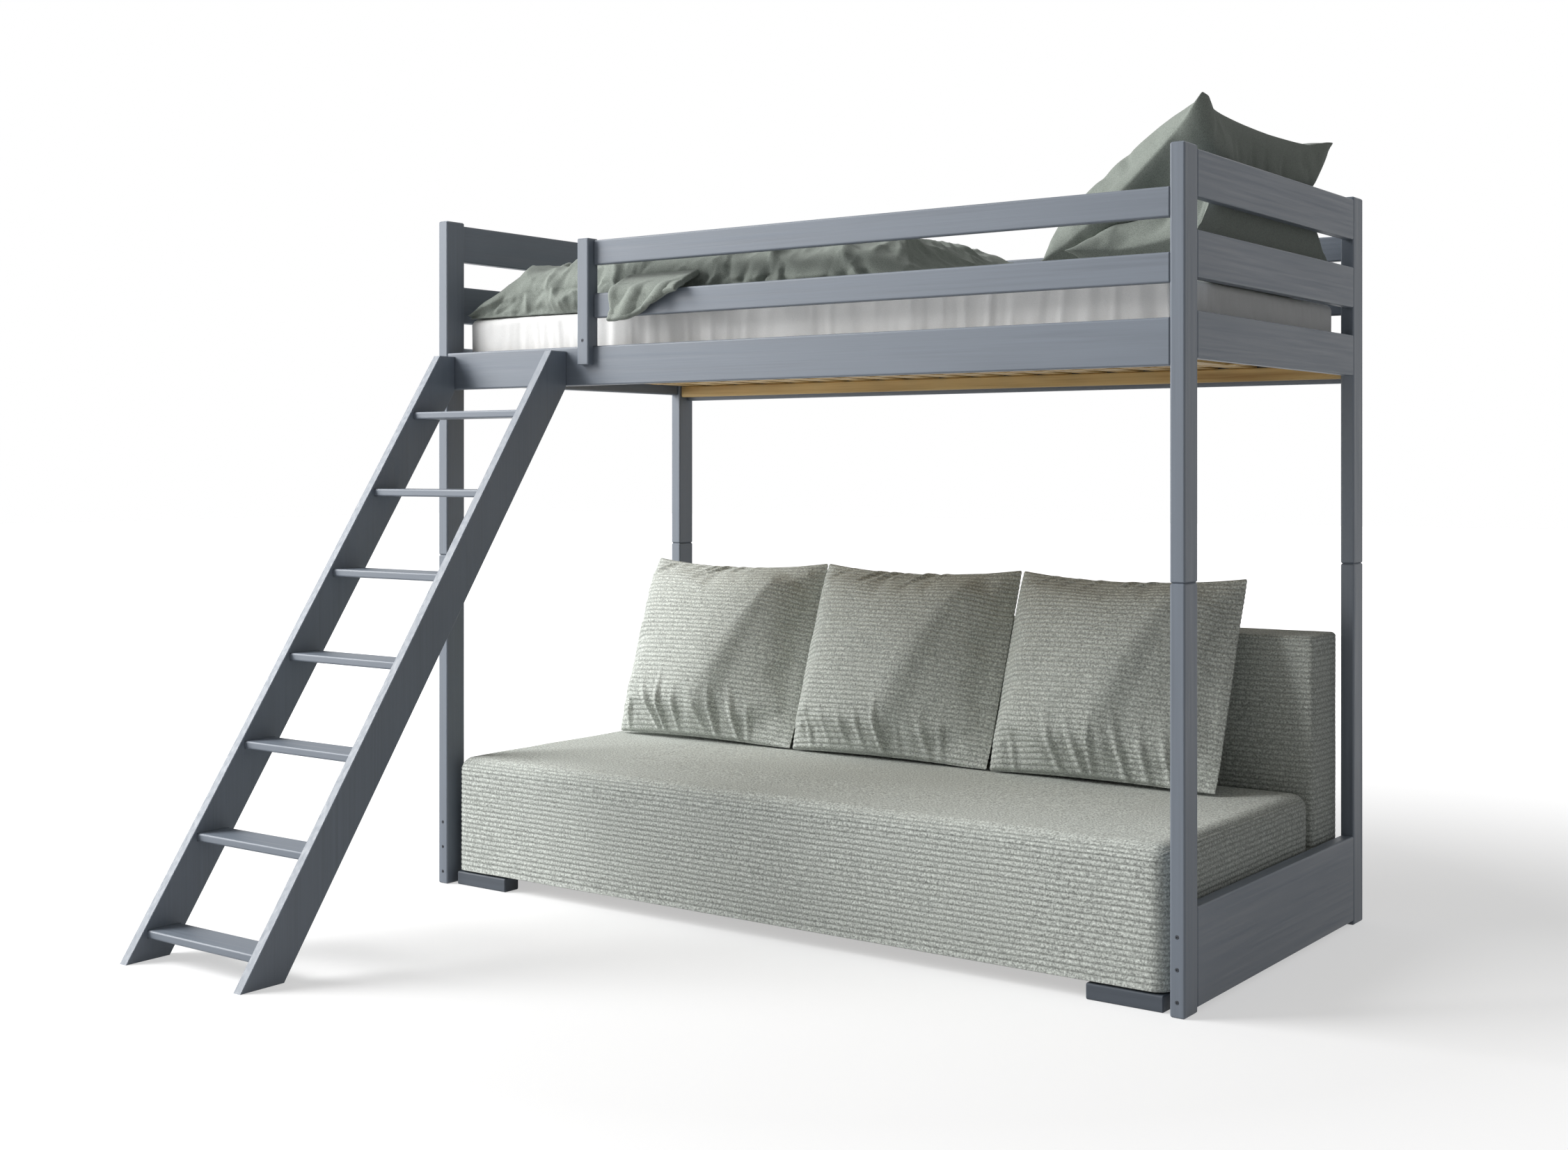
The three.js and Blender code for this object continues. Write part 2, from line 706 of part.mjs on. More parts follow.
function duvetHeight(x, y) {
  const drop = THREE.MathUtils.smoothstep(x, duvetRight - heapSlopeStart, duvetRight - heapSlopeEnd);
  const rise = THREE.MathUtils.smoothstep(x, duvetLeft - heapEndOverhang, duvetLeft + heapEndSlope);
  const waves = duvetFolds.map((fold) => fold.height * Math.sin(x / fold.alongX + y / fold.alongY));
  const folds = waves[0] + waves[1];
  return duvetThickness + duvetHeap * (1 - drop) * rise + folds * (1 - (1 - thinFolds) * drop);
}

// It thins to a rolled edge: u and v run from -1 to 1 along it and across it
function duvetEdge(u, v) {
  const side = 1 - duvetSideRoll * Math.abs(v) ** 8;
  const end = 1 - duvetEndRoll * Math.abs(u) ** 24;
  return Math.sqrt(side * end);
}

function duvetBody() {
  const geometry = new THREE.BoxGeometry(2, 2, 1, ...duvetCells);
  const position = geometry.attributes.position;
  for (let index = 0; index < position.count; index += 1) {
    const u = position.getX(index);
    const v = position.getY(index);
    const corner = 1 - duvetCornerDraw * u ** 4 * v ** 4;
    const x = (duvetLeft + duvetRight) / 2 + (duvetRight - duvetLeft) / 2 * u * corner;
    const y = duvetDepth / 2 * v * corner;
    const top = position.getZ(index) > 0 ? duvetHeight(x, y) * duvetEdge(u, v) : 0;
    position.setXYZ(index, x, y, mattressTop + cushionGap + top);
  }
  return toSolid(geometry);
}

// A corner of it comes out over the middle guard rail and hangs down in front of the rail
const flapLeft = xGuardRight + flapPostGap;
const flapRight = flapLeft + flapWidth;
const railTop = guardMiddleRailBottom + guardRailHeight;

function flapBand() {
  const inside = flapRoot - duvetDepth / 2;
  const back = -yOut - flapClear;
  const front = back - flapThickness;
  const strip = new THREE.Shape();
  strip.moveTo(inside, railTop + flapClear);
  strip.lineTo(back + flapInnerBend, railTop + flapClear);
  strip.quadraticCurveTo(back, railTop + flapClear, back, railTop + flapClear - flapInnerBend);
  strip.lineTo(back, flapTip - cutMargin);
  strip.lineTo(front, flapTip - cutMargin);
  strip.lineTo(front, railTop + flapClear);
  strip.quadraticCurveTo(front, railTop + flapOuterBend, back + flapThickness, railTop + flapOuterBend);
  strip.lineTo(inside, railTop + flapRootHeight);
  const band = new THREE.ExtrudeGeometry(strip, {
    depth: flapWidth,
    steps: 1,
    curveSegments: 4,
    bevelEnabled: false,
  });
  band.rotateX(Math.PI / 2);
  band.rotateZ(Math.PI / 2);
  band.translate(flapLeft, 0, 0);
  return toSolid(band);
}

// Seen from the front, the flap is a triangle with its point low on the left
function flapOutline() {
  const left = flapLeft - cutMargin;
  const right = flapRight + cutMargin;
  const top = railTop + flapRootHeight + cutMargin;
  const outline = new THREE.Shape();
  outline.moveTo(left, top);
  outline.lineTo(left, flapTip + flapPoint);
  outline.quadraticCurveTo(flapLeft, flapTip, flapLeft + flapPoint, flapTip);
  outline.quadraticCurveTo(flapLeft + flapSweepAlong, flapTip + flapSweepUp, right, railTop + flapClear);
  outline.lineTo(right, top);
  const cutter = new THREE.ExtrudeGeometry(outline, {
    depth: frameDepth,
    steps: 1,
    curveSegments: 5,
    bevelEnabled: false,
  });
  cutter.rotateX(Math.PI / 2);
  return toSolid(cutter);
}

function addDuvet() {
  const flap = flapBand().intersect(flapOutline());
  add('duvet', toGeometry(duvetBody().add(flap)), sageCloth);
}

addPosts();
addSideRails();
addGuardPost();
addGuardRails();
addEnds();
addLedgers();
addSlatMat();
addLadder();
addSofaBase();
addThrowPillows(addSeat(), addBackCushion());
addBedPillows(addMattress());
addDuvet();

export default model;
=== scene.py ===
import math
import bmesh
import bpy
from mathutils import Matrix, Vector, noise
from mathutils.bvhtree import BVHTree


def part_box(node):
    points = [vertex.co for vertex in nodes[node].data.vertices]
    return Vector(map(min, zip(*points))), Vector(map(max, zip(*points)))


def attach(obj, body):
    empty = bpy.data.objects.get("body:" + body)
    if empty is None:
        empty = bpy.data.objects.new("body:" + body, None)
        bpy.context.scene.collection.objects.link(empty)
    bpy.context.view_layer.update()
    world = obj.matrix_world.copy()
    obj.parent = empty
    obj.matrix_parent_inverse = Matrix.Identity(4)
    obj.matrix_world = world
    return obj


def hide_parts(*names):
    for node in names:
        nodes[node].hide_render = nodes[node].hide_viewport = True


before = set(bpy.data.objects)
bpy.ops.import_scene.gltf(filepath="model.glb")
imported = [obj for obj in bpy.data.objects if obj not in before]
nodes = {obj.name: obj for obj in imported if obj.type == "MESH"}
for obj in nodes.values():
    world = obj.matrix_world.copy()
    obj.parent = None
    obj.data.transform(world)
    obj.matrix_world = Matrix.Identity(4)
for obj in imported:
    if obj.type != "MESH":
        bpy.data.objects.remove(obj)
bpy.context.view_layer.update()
print("frame loaded:", len(nodes), "nodes")

# Camera, at the angle of the photograph (2253 x 1652)
cameraSettings = {
    "place": (2.5936, -3.9536, 1.0786),
    "turn": 36.178,
    "lens": 43.56,
    "sensor": 36,
    "principalRow": 671,
    "imageSize": (2253, 1652),
}


def makeCamera(settings):
    data = bpy.data.cameras.new("camera")
    data.lens = settings["lens"]
    data.sensor_width = settings["sensor"]
    width, height = settings["imageSize"]
    data.shift_y = (settings["principalRow"] - height / 2) / width
    camera = bpy.data.objects.new("camera", data)
    camera.location = settings["place"]
    camera.rotation_euler = (math.pi / 2, 0, math.radians(settings["turn"]))
    bpy.context.scene.collection.objects.link(camera)
    bpy.context.scene.camera = camera


makeCamera(cameraSettings)
bpy.context.scene.view_settings.view_transform = "Standard"

noiseRange = (0.3, 0.7)  # most values of a noise texture lie in here


# Shader helpers: a material starts with its nodes and its shader
def newMaterial(name, colour, roughness):
    material = bpy.data.materials.new(name)
    material.use_nodes = True
    tree = material.node_tree
    shader = tree.nodes["Principled BSDF"]
    shader.inputs["Base Color"].default_value = (*colour, 1)
    shader.inputs["Roughness"].default_value = roughness
    return material, tree, shader


# A value is set on the socket itself, and another node's output is linked to it
def feed(tree, socket, value):
    if isinstance(value, bpy.types.NodeSocket):
        tree.links.new(value, socket)
    else:
        socket.default_value = value


def addNode(tree, kind, **inputs):
    node = tree.nodes.new("ShaderNode" + kind)
    for name, value in inputs.items():
        feed(tree, node.inputs[name.replace("_", " ")], value)
    return node


def mathNode(tree, operation, *values):
    node = tree.nodes.new("ShaderNodeMath")
    node.operation = operation
    for socket, value in zip(node.inputs, values):
        feed(tree, socket, value)
    return node.outputs[0]


def objectCoordinates(tree, scale=(1, 1, 1), turn=(0, 0, 0)):
    coordinates = tree.nodes.new("ShaderNodeTexCoord").outputs["Object"]
    mapping = addNode(tree, "Mapping", Vector=coordinates, Scale=scale, Rotation=turn)
    return mapping.outputs["Vector"]


def noiseOn(tree, vector, scale, detail=3, roughness=0.55):
    texture = addNode(tree, "TexNoise", Vector=vector, Scale=scale, Detail=detail, Roughness=roughness)
    return texture.outputs["Fac"]


def mixColours(tree, factor, first, second):
    mix = tree.nodes.new("ShaderNodeMix")
    mix.data_type = "RGBA"
    feed(tree, mix.inputs[0], factor)
    for socket, value in ((mix.inputs[6], first), (mix.inputs[7], second)):
        feed(tree, socket, (*value, 1) if isinstance(value, tuple) else value)
    return mix.outputs[2]


def spread(tree, value, low, high, newLow, newHigh):
    fit = tree.nodes.new("ShaderNodeMapRange")
    tree.links.new(value, fit.inputs["Value"])
    for name, number in (("From Min", low), ("From Max", high), ("To Min", newLow), ("To Max", newHigh)):
        fit.inputs[name].default_value = number
    return fit.outputs["Result"]


def addBump(tree, shader, height, strength, distance, under=None):
    bump = addNode(tree, "Bump", Strength=strength, Distance=distance, Height=height)
    if under:
        tree.links.new(under, bump.inputs["Normal"])
    tree.links.new(bump.outputs["Normal"], shader.inputs["Normal"])
    return bump.outputs["Normal"]


def toned(colour, share):
    return tuple(channel * share for channel in colour)


grainAlong = 2.2  # noise along a board's grain, per metre


def grainVector(tree, along, across, turn=(0, 0, 0)):
    scale = [across] * 3
    scale["xyz".index(along)] = grainAlong
    return objectCoordinates(tree, tuple(scale), turn)


# Grey paint over planed pine: the grain runs along the board and shows through a little
paintLook = {
    "colour": (0.162, 0.189, 0.228),
    "shade": 0.78,
    "light": 1.08,
    "roughness": (0.40, 0.58),
    "gloss": 0.6,
    "grainAcross": 130,
    "broadAcross": 26,
    "streakRange": (0.35, 0.7),
    "broadRange": (0.35, 0.65),
    "evenness": (0.25, 0.75),
    "cloudScale": (4, 4, 4),
    "cloudLight": 1.18,
    "cloudShare": 0.22,
    "bump": 0.0005,
    "bumpStrength": 0.6,
}


def paintMaterial(name, along, turn=(0, 0, 0), look=paintLook):
    colour = look["colour"]
    material, tree, shader = newMaterial(name, colour, look["roughness"][0])
    grain = noiseOn(tree, grainVector(tree, along, look["grainAcross"], turn), 1.0, detail=4, roughness=0.62)
    broad = noiseOn(tree, grainVector(tree, along, look["broadAcross"], turn), 1.0, detail=2)
    cloud = noiseOn(tree, objectCoordinates(tree, look["cloudScale"]), 1.0, detail=2)
    streaks = spread(tree, grain, *look["streakRange"], 0, 1)
    streaked = mixColours(tree, streaks, toned(colour, look["shade"]), toned(colour, look["light"]))
    evenness = spread(tree, broad, *look["broadRange"], *look["evenness"])
    evened = mixColours(tree, evenness, streaked, colour)
    clouds = spread(tree, cloud, *noiseRange, 0, look["cloudShare"])
    clouded = mixColours(tree, clouds, evened, toned(colour, look["cloudLight"]))
    tree.links.new(clouded, shader.inputs["Base Color"])
    tree.links.new(spread(tree, grain, *noiseRange, *look["roughness"]), shader.inputs["Roughness"])
    addBump(tree, shader, grain, look["bumpStrength"], look["bump"])
    shader.inputs["Specular IOR Level"].default_value = look["gloss"]
    return material


# Bare pine and plywood, and the grain that they share
woodLook = {
    "pine": {"pale": (0.66, 0.47, 0.205), "dark": (0.34, 0.19, 0.055), "roughness": 0.55},
    "plywood": {"pale": (0.50, 0.36, 0.20), "dark": (0.38, 0.25, 0.13), "roughness": 0.7},
}
woodGrain = {
    "across": 90,
    "broadAcross": 14,
    "streakRange": (0.4, 0.72),
    "broadRange": (0.35, 0.65),
    "broadShare": 0.6,
    "broadLight": 1.15,
    "bump": 0.0004,
    "bumpStrength": 0.6,
}


def woodMaterial(name, look, along):
    material, tree, shader = newMaterial(name, look["pale"], look["roughness"])
    grain = noiseOn(tree, grainVector(tree, along, woodGrain["across"]), 1.0, detail=4, roughness=0.6)
    broad = noiseOn(tree, grainVector(tree, along, woodGrain["broadAcross"]), 1.0, detail=2)
    streaks = spread(tree, grain, *woodGrain["streakRange"], 0, 1)
    streaked = mixColours(tree, streaks, look["pale"], look["dark"])
    bands = spread(tree, broad, *woodGrain["broadRange"], 0, woodGrain["broadShare"])
    banded = mixColours(tree, bands, streaked, toned(look["pale"], woodGrain["broadLight"]))
    tree.links.new(banded, shader.inputs["Base Color"])
    addBump(tree, shader, grain, woodGrain["bumpStrength"], woodGrain["bump"])
    return material


# Cloth: its colour, how dark the weave's hollows are (painted shade mixed with yarn tone that differs at
# random), its threads per metre, relief and sheen
clothLook = {
    "corduroy": {
        "colour": (0.735, 0.772, 0.722), "dark": 0.30, "weave": 230, "bump": 0.0026, "sheen": 0.10,
    },
    "sage": {
        "colour": (0.295, 0.327, 0.293), "dark": 0.66, "weave": 480, "bump": 0.0010, "sheen": 0.15,
    },
    "sheet": {
        "colour": (0.88, 0.88, 0.87), "dark": 0.95, "weave": 1100, "bump": 0.0002, "sheen": 0.1,
    },
}
clothFinish = {
    "roughness": 0.92,
    "sheenRoughness": 0.5,
    "gloss": 0.2,
    "light": 1.18,
    "mottleScale": 9,
    "mottleShade": 0.8,
    "mottleShare": 0.14,
    "bumpStrength": 0.7,
}
# Corduroy ribs: their pitch, wander, relief and height, and the painted shade that darkens the colour in the
# valleys between them
ribLook = {
    "pitch": 0.0122,
    "wander": 0.10,
    "wanderScale": 6,
    "valleyShade": 0.40,
    "weaveInValleyShade": 0.35,
    "narrow": 2.3,
    "bump": 0.0018,
    "bumpStrength": 0.8,
    "height": 0.0017,
}


def readAttribute(tree, name):
    node = tree.nodes.new("ShaderNodeAttribute")
    node.attribute_name = name
    return node.outputs["Fac"]


# One on a rib's crest and nought in the narrow valley between two ribs
def crestNodes(tree, row, shift):
    phase = mathNode(tree, "ADD", mathNode(tree, "DIVIDE", row, ribLook["pitch"]), shift)
    away = mathNode(tree, "ABSOLUTE", mathNode(tree, "SUBTRACT", mathNode(tree, "FRACT", phase), 0.5))
    sunk = mathNode(tree, "POWER", mathNode(tree, "MULTIPLY", away, 2.0), ribLook["narrow"])
    return mathNode(tree, "SUBTRACT", 1.0, sunk)


# Blends the ribs round the sides with those on the ends, and fades them where they are pressed flat; the
# result sets both the ribs' bump and the painted shade in their valleys
def ribNodes(tree):
    wander = noiseOn(tree, objectCoordinates(tree), ribLook["wanderScale"], detail=2)
    shift = spread(tree, wander, *noiseRange, -ribLook["wander"], ribLook["wander"])
    sideCrest = crestNodes(tree, readAttribute(tree, "row"), shift)
    endCrest = crestNodes(tree, readAttribute(tree, "endRow"), shift)
    endPart = readAttribute(tree, "endPart")
    sidePart = mathNode(tree, "SUBTRACT", 1.0, endPart)
    crest = mathNode(tree, "ADD", mathNode(tree, "MULTIPLY", endCrest, endPart),
                     mathNode(tree, "MULTIPLY", sideCrest, sidePart))
    hollow = mathNode(tree, "SUBTRACT", 1.0, crest)
    sunk = mathNode(tree, "MULTIPLY", hollow, readAttribute(tree, "ribDepth"))
    return mathNode(tree, "SUBTRACT", 1.0, sunk)


def clothMaterial(name, look, ribs=False):
    material, tree, shader = newMaterial(name, look["colour"], clothFinish["roughness"])
    shader.inputs["Sheen Weight"].default_value = look["sheen"]
    shader.inputs["Sheen Roughness"].default_value = clothFinish["sheenRoughness"]
    shader.inputs["Specular IOR Level"].default_value = clothFinish["gloss"]
    # The yarn's speckle: tone that differs at random, darkest where the same noise sinks the bump, which is
    # painted shade in the weave's hollows
    yarn = noiseOn(tree, objectCoordinates(tree), look["weave"], detail=2, roughness=0.7)
    mottle = noiseOn(tree, objectCoordinates(tree), clothFinish["mottleScale"])
    hollowShade, threads = toned(look["colour"], look["dark"]), toned(look["colour"], clothFinish["light"])
    colour = mixColours(tree, spread(tree, yarn, *noiseRange, 0, 1), hollowShade, threads)
    under = None
    if ribs:
        # Painted shade: the colour is darkened in the ribs' valleys, keeping some of the weave there
        crest = ribNodes(tree)
        valleyShade = mixColours(tree, ribLook["weaveInValleyShade"], toned(look["colour"], ribLook["valleyShade"]), colour)
        colour = mixColours(tree, crest, valleyShade, colour)
        under = addBump(tree, shader, crest, ribLook["bumpStrength"], ribLook["bump"])
    patches = spread(tree, mottle, *noiseRange, 0, clothFinish["mottleShare"])
    colour = mixColours(tree, patches, colour, toned(look["colour"], clothFinish["mottleShade"]))
    tree.links.new(colour, shader.inputs["Base Color"])
    addBump(tree, shader, yarn, clothFinish["bumpStrength"], look["bump"], under)
    return material


boltLook = {
    "colour": (0.085, 0.092, 0.105),
    "roughness": (0.35, 0.55),
    "metal": 0.6,
    "scratchScale": 500,
    "bump": 0.0001,
    "bumpStrength": 0.4,
}


def boltMaterial(look):
    material, tree, shader = newMaterial("boltSteel", look["colour"], look["roughness"][0])
    shader.inputs["Metallic"].default_value = look["metal"]
    scratch = noiseOn(tree, objectCoordinates(tree), look["scratchScale"])
    tree.links.new(spread(tree, scratch, *noiseRange, *look["roughness"]), shader.inputs["Roughness"])
    addBump(tree, shader, scratch, look["bumpStrength"], look["bump"])
    return material


ladderLean = 34.1  # of the stringers, in degrees from upright
# The sofa's feet stand in shade, so they get the grey paint made darker: painted shade, not a paint of their
# own
shadedFeetLook = dict(paintLook, colour=toned(paintLook["colour"], 0.5), gloss=0.3)  # darker and duller

paintX = paintMaterial("paintAlongX", "x")
paintY = paintMaterial("paintAlongY", "y")
paintZ = paintMaterial("paintAlongZ", "z")
paintSlanted = paintMaterial("paintAlongStringer", "z", turn=(math.radians(ladderLean), 0, 0))
paintFeetShaded = paintMaterial("paintFeetShaded", "x", look=shadedFeetLook)
pineX = woodMaterial("pineAlongX", woodLook["pine"], "x")
pineY = woodMaterial("pineAlongY", woodLook["pine"], "y")
plywoodX = woodMaterial("plywoodAlongX", woodLook["plywood"], "x")
corduroy = clothMaterial("corduroy", clothLook["corduroy"], ribs=True)
sage = clothMaterial("sageLinen", clothLook["sage"])
sheetCloth = clothMaterial("whiteSheet", clothLook["sheet"])
boltSteel = boltMaterial(boltLook)

# The finish of each board that stays as it was built
finishes = {
    "post_": paintZ,
    "guard_post": paintZ,
    "side_rail_": paintX,
    "guard_rail_": paintX,
    "end_rail_": paintY,
    "end_board_": paintY,
    "ladder_stringer_": paintSlanted,
    "ladder_tread_": paintX,
    "seat_foot_": paintFeetShaded,
    "slat_ledger_": pineX,
    "slat_mat": pineY,
    "sofa_base_side_": pineY,
    "sofa_base_middle": pineY,
    "sofa_base_rail_": pineX,
    "sofa_deck": plywoodX,
    "seat_board": plywoodX,
}


def finishOf(name):
    if "_bolt" in name:
        return boltSteel
    found = [prefix for prefix in finishes if name.startswith(prefix)]
    return finishes[max(found, key=len)] if found else None


for name, node in nodes.items():
    finish = finishOf(name)
    if finish:
        node.data.materials.clear()
        node.data.materials.append(finish)
print("boards finished")

weldDistance = 0.00001  # vertices nearer than this become one
touching = 0.0001  # lengths and slopes under this count as nought


# Mesh helpers: a box of six grids, closed along its edges
def gridBox(low, high, cells):
    low, high = Vector(low), Vector(high)
    middle, size = (low + high) / 2, high - low
    bm = bmesh.new()
    for axis in range(3):
        for side in (-1, 1):
            first, second = [other for other in range(3) if other != axis]
            place = Matrix.Identity(4)
            for row in range(3):
                place[row][0] = size[first] if row == first else 0
                place[row][1] = size[second] if row == second else 0
                place[row][2] = 1 if row == axis else 0
                place[row][3] = middle[row] + (side * size[axis] / 2 if row == axis else 0)
            bmesh.ops.create_grid(bm, x_segments=cells[first], y_segments=cells[second], size=0.5,
                                  matrix=place)
    bmesh.ops.remove_doubles(bm, verts=bm.verts, dist=weldDistance)
    bmesh.ops.recalc_face_normals(bm, faces=bm.faces)
    return bm


def toPiece(bm, name, material, body, node):
    for face in bm.faces:
        face.smooth = True
    mesh = bpy.data.meshes.new(name)
    bm.to_mesh(mesh)
    bm.free()
    mesh.materials.append(material)
    piece = bpy.data.objects.new(name, mesh)
    bpy.context.scene.collection.objects.link(piece)
    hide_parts(node)
    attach(piece, body)
    return piece


def smoothStep(value, start, end):
    share = min(1, max(0, (value - start) / (end - start)))
    return share * share * (3 - 2 * share)


seedSteps = (7.3, 3.1, 5.7)  # how far apart two seeds lie in the noise


def wobble(point, scale, seed=0):
    return noise.noise(Vector(point) * scale + Vector([seed * step for step in seedSteps]))


def ribCrest(row):
    away = abs(row / ribLook["pitch"] % 1 - 0.5) * 2
    return 1 - away ** ribLook["narrow"]


# The attributes that the corduroy reads: two ways to count rows, the ends' part and the ribs' depth
def ribLayers(bm):
    return {name: bm.verts.layers.float.new(name) for name in ("row", "endRow", "endPart", "ribDepth")}


# How far a point lies across the ribs: up the front, over the top and down the back
def rowAcross(inner, out, half, radius):
    topStart = half.z - radius + radius * math.pi / 2
    if out.z > 0 and abs(out.y) < touching:
        return topStart + inner.y + half.y - radius
    angle = math.atan2(max(0, out.z), abs(out.y))
    if out.y <= 0:
        return inner.z + radius * angle
    return topStart + 2 * (half.y - radius) + radius * (math.pi / 2 - angle) + half.z - radius - inner.z


# Crowds the grid lines along the bed into the rounded ends
def crowdEnds(bm, low, high, look):
    size, radius = high.x - low.x, look["radius"]
    cells, endCells = look["cells"][0], look["endCells"]
    for vert in bm.verts:
        step = (vert.co.x - low.x) / size * cells
        side = min(step, cells - step)
        if side < endCells:
            place = side / endCells * radius
        else:
            place = radius + (side - endCells) / (cells / 2 - endCells) * (size / 2 - radius)
        vert.co.x = low.x + place if step < cells / 2 else high.x - place


# What both cushions share: turns are shares of the way that a face looks to an end, up or away
cushionForm = {
    "endTurn": (0.35, 0.75),  # from side ribs to end ribs
    "topTurn": (0.6, 1.0),  # from side ribs to the top's fainter ones
    "hiddenTurn": 0.5,  # past this a face is the underside or the back
    "hiddenRelief": 0.4,
    "dentScales": (4.5, 11),
    "smallDents": 0.5,
}


# Rounds a box's edges, swells its faces and lays ribs round its sides and across its top
def shapeCushion(bm, low, high, look):
    half, middle = (high - low) / 2, (low + high) / 2
    radius = look["radius"]
    crowdEnds(bm, low, high, look)
    layers = ribLayers(bm)
    for vert in bm.verts:
        local = vert.co - middle
        reach = Vector((radius, radius, radius if local.z > 0 else look["bottomRadius"]))
        inner = Vector([max(reach[axis] - half[axis], min(half[axis] - reach[axis], local[axis]))
                        for axis in range(3)])
        away = Vector([(local[axis] - inner[axis]) / reach[axis] for axis in range(3)]).normalized()
        out = Vector([away[axis] / reach[axis] for axis in range(3)]).normalized()
        point = inner + Vector([away[axis] * reach[axis] for axis in range(3)])
        share = [abs(inner[axis]) / (half[axis] - reach[axis]) for axis in range(3)]
        for axis in range(3):
            others = [share[other] for other in range(3) if other != axis]
            swell = 0 if axis == 2 and local.z < 0 else (1 - others[0] ** 2) * (1 - others[1] ** 2) - 1
            point[axis] += math.copysign(abs(out[axis]), point[axis]) * look["crown"][axis] * swell
        row = rowAcross(inner, out, half, radius)
        endPart = smoothStep(abs(out.x), *cushionForm["endTurn"])
        topPart = smoothStep(out.z, *cushionForm["topTurn"])
        under, behind = out.z <= -cushionForm["hiddenTurn"], out.y >= cushionForm["hiddenTurn"]
        # The ribs' depth, fainter on the top and none underneath, sets their relief and how much painted
        # shade lies in their valleys
        depth = 0 if under else 1 - (1 - look["topRibs"]) * topPart
        crest = (1 - endPart) * ribCrest(row) + endPart * ribCrest(point.z)
        broad, small = [wobble(point, scale, look["seed"]) for scale in cushionForm["dentScales"]]
        dent = broad + cushionForm["smallDents"] * small - 1
        shown = cushionForm["hiddenRelief"] if under or behind else 1
        point += out * shown * (look["dents"] * dent - ribLook["height"] * depth * (1 - crest))
        for name, value in (("row", row), ("endRow", local.z), ("endPart", endPart), ("ribDepth", depth)):
            vert[layers[name]] = value
        vert.co = point + middle


# Sofa seat: its front hangs down as an apron, the rest lies on the seat board
seatLook = {
    "radius": 0.042,
    "bottomRadius": 0.006,
    "crown": (0.002, 0.003, 0.006),
    "dents": 0.0016,
    "seed": 2,
    "cells": (68, 256, 110),
    "endCells": 6,
    "topRibs": 0.12,
    "apron": 0.05,
    "clear": 0.0004,
    "weld": 0.0002,
}


def makeSeat(look):
    low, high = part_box("seat_cushion")
    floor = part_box("seat_board")[1].z + look["clear"]
    bm = gridBox(low, high, look["cells"])
    shapeCushion(bm, low, high, look)
    back = low.y + look["apron"]
    for vert in bm.verts:
        if vert.co.y > back - touching and vert.co.z < floor:
            vert.co.z = floor
    bmesh.ops.remove_doubles(bm, verts=bm.verts, dist=look["weld"])
    seat = toPiece(bm, "seat_cushion_cover", corduroy, "sofa_seat", "seat_cushion")
    return seat


seat = makeSeat(seatLook)
print("seat made:", len(seat.data.polygons), "faces")

# Back cushion: a firm block with crisp sewn edges
backLook = {
    "radius": 0.014,
    "bottomRadius": 0.008,
    "crown": (0.002, 0.003, 0.003),
    "dents": 0.0014,
    "seed": 5,
    "cells": (64, 44, 200),
    "endCells": 6,
    "topRibs": 0.25,
    "seamDepth": 0.0024,
    "seamWidth": 0.006,
}


def makeBack(look):
    low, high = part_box("back_cushion")
    bm = gridBox(low, high, look["cells"])
    shapeCushion(bm, low, high, look)
    middle, half = (low + high) / 2, (high - low) / 2
    seamDepth, seamWidth = look["seamDepth"], look["seamWidth"]
    for vert in bm.verts:
        local = vert.co - middle
        reach = [half[axis] - abs(local[axis]) for axis in range(3)]
        near = sorted(reach)[1]  # how far off the second nearest face is: small beside an edge
        if near < seamWidth:
            pull = [math.copysign(seamDepth, local[axis]) if reach[axis] < seamWidth else 0
                    for axis in range(3)]
            vert.co -= Vector(pull) * (1 - near / seamWidth)
    back = toPiece(bm, "back_cushion_cover", corduroy, "bed_frame", "back_cushion")
    return back


back = makeBack(backLook)
print("back cushion made:", len(back.data.polygons), "faces")

# What all pillows share: the power that rounds their section, their lumps, seam and cloth
pillowMake = {
    "fullness": 0.42,
    "lumps": 0.004,
    "lumpScale": 9,
    "seamBand": (0.86, 0.99),
    "quality": 5,
    "mass": 0.3,
    "shearShare": 0.4,
    "airDamping": 1.5,
    "frames": 20,
}


# A pillow is two layers sewn at the rim and blown up by a cloth simulation
def pillowForm(look):
    width, height, thickness = look["size"]
    rim = look["rim"]
    bm = gridBox((-width / 2, -height / 2, -rim), (width / 2, height / 2, rim), (*look["cells"], 1))
    layers = ribLayers(bm)
    for vert in bm.verts:
        vert[layers["row"]] = vert.co.y
        vert[layers["ribDepth"]] = 1
        u, v = vert.co.x * 2 / width, vert.co.y * 2 / height
        full = max(0, (1 - u * u) * (1 - v * v)) ** pillowMake["fullness"]
        vert.co.x *= 1 - look["drawnSides"] * (1 - v * v)
        vert.co.y *= 1 - (look["drawnTop"] if v > 0 else look["drawnBottom"]) * (1 - u * u)
        loft = rim + (thickness / 2 * look["start"] - rim) * full
        lump = pillowMake["lumps"] * full * wobble(vert.co, pillowMake["lumpScale"], look["seed"])
        vert.co.z = math.copysign(loft, vert.co.z) + lump
    return bm


def setCloth(settings, look):
    settings.quality = pillowMake["quality"]
    settings.mass = pillowMake["mass"]
    settings.tension_stiffness = look["stiff"]
    settings.compression_stiffness = look["stiff"]
    settings.shear_stiffness = look["stiff"] * pillowMake["shearShare"]
    settings.bending_stiffness = look["bend"]
    settings.air_damping = pillowMake["airDamping"]
    settings.use_pressure = True
    settings.uniform_pressure_force = look["pressure"]
    settings.vertex_group_shrink = "seam"
    settings.shrink_min = look["slack"]
    settings.shrink_max = look["pucker"]
    settings.effector_weights.gravity = 0


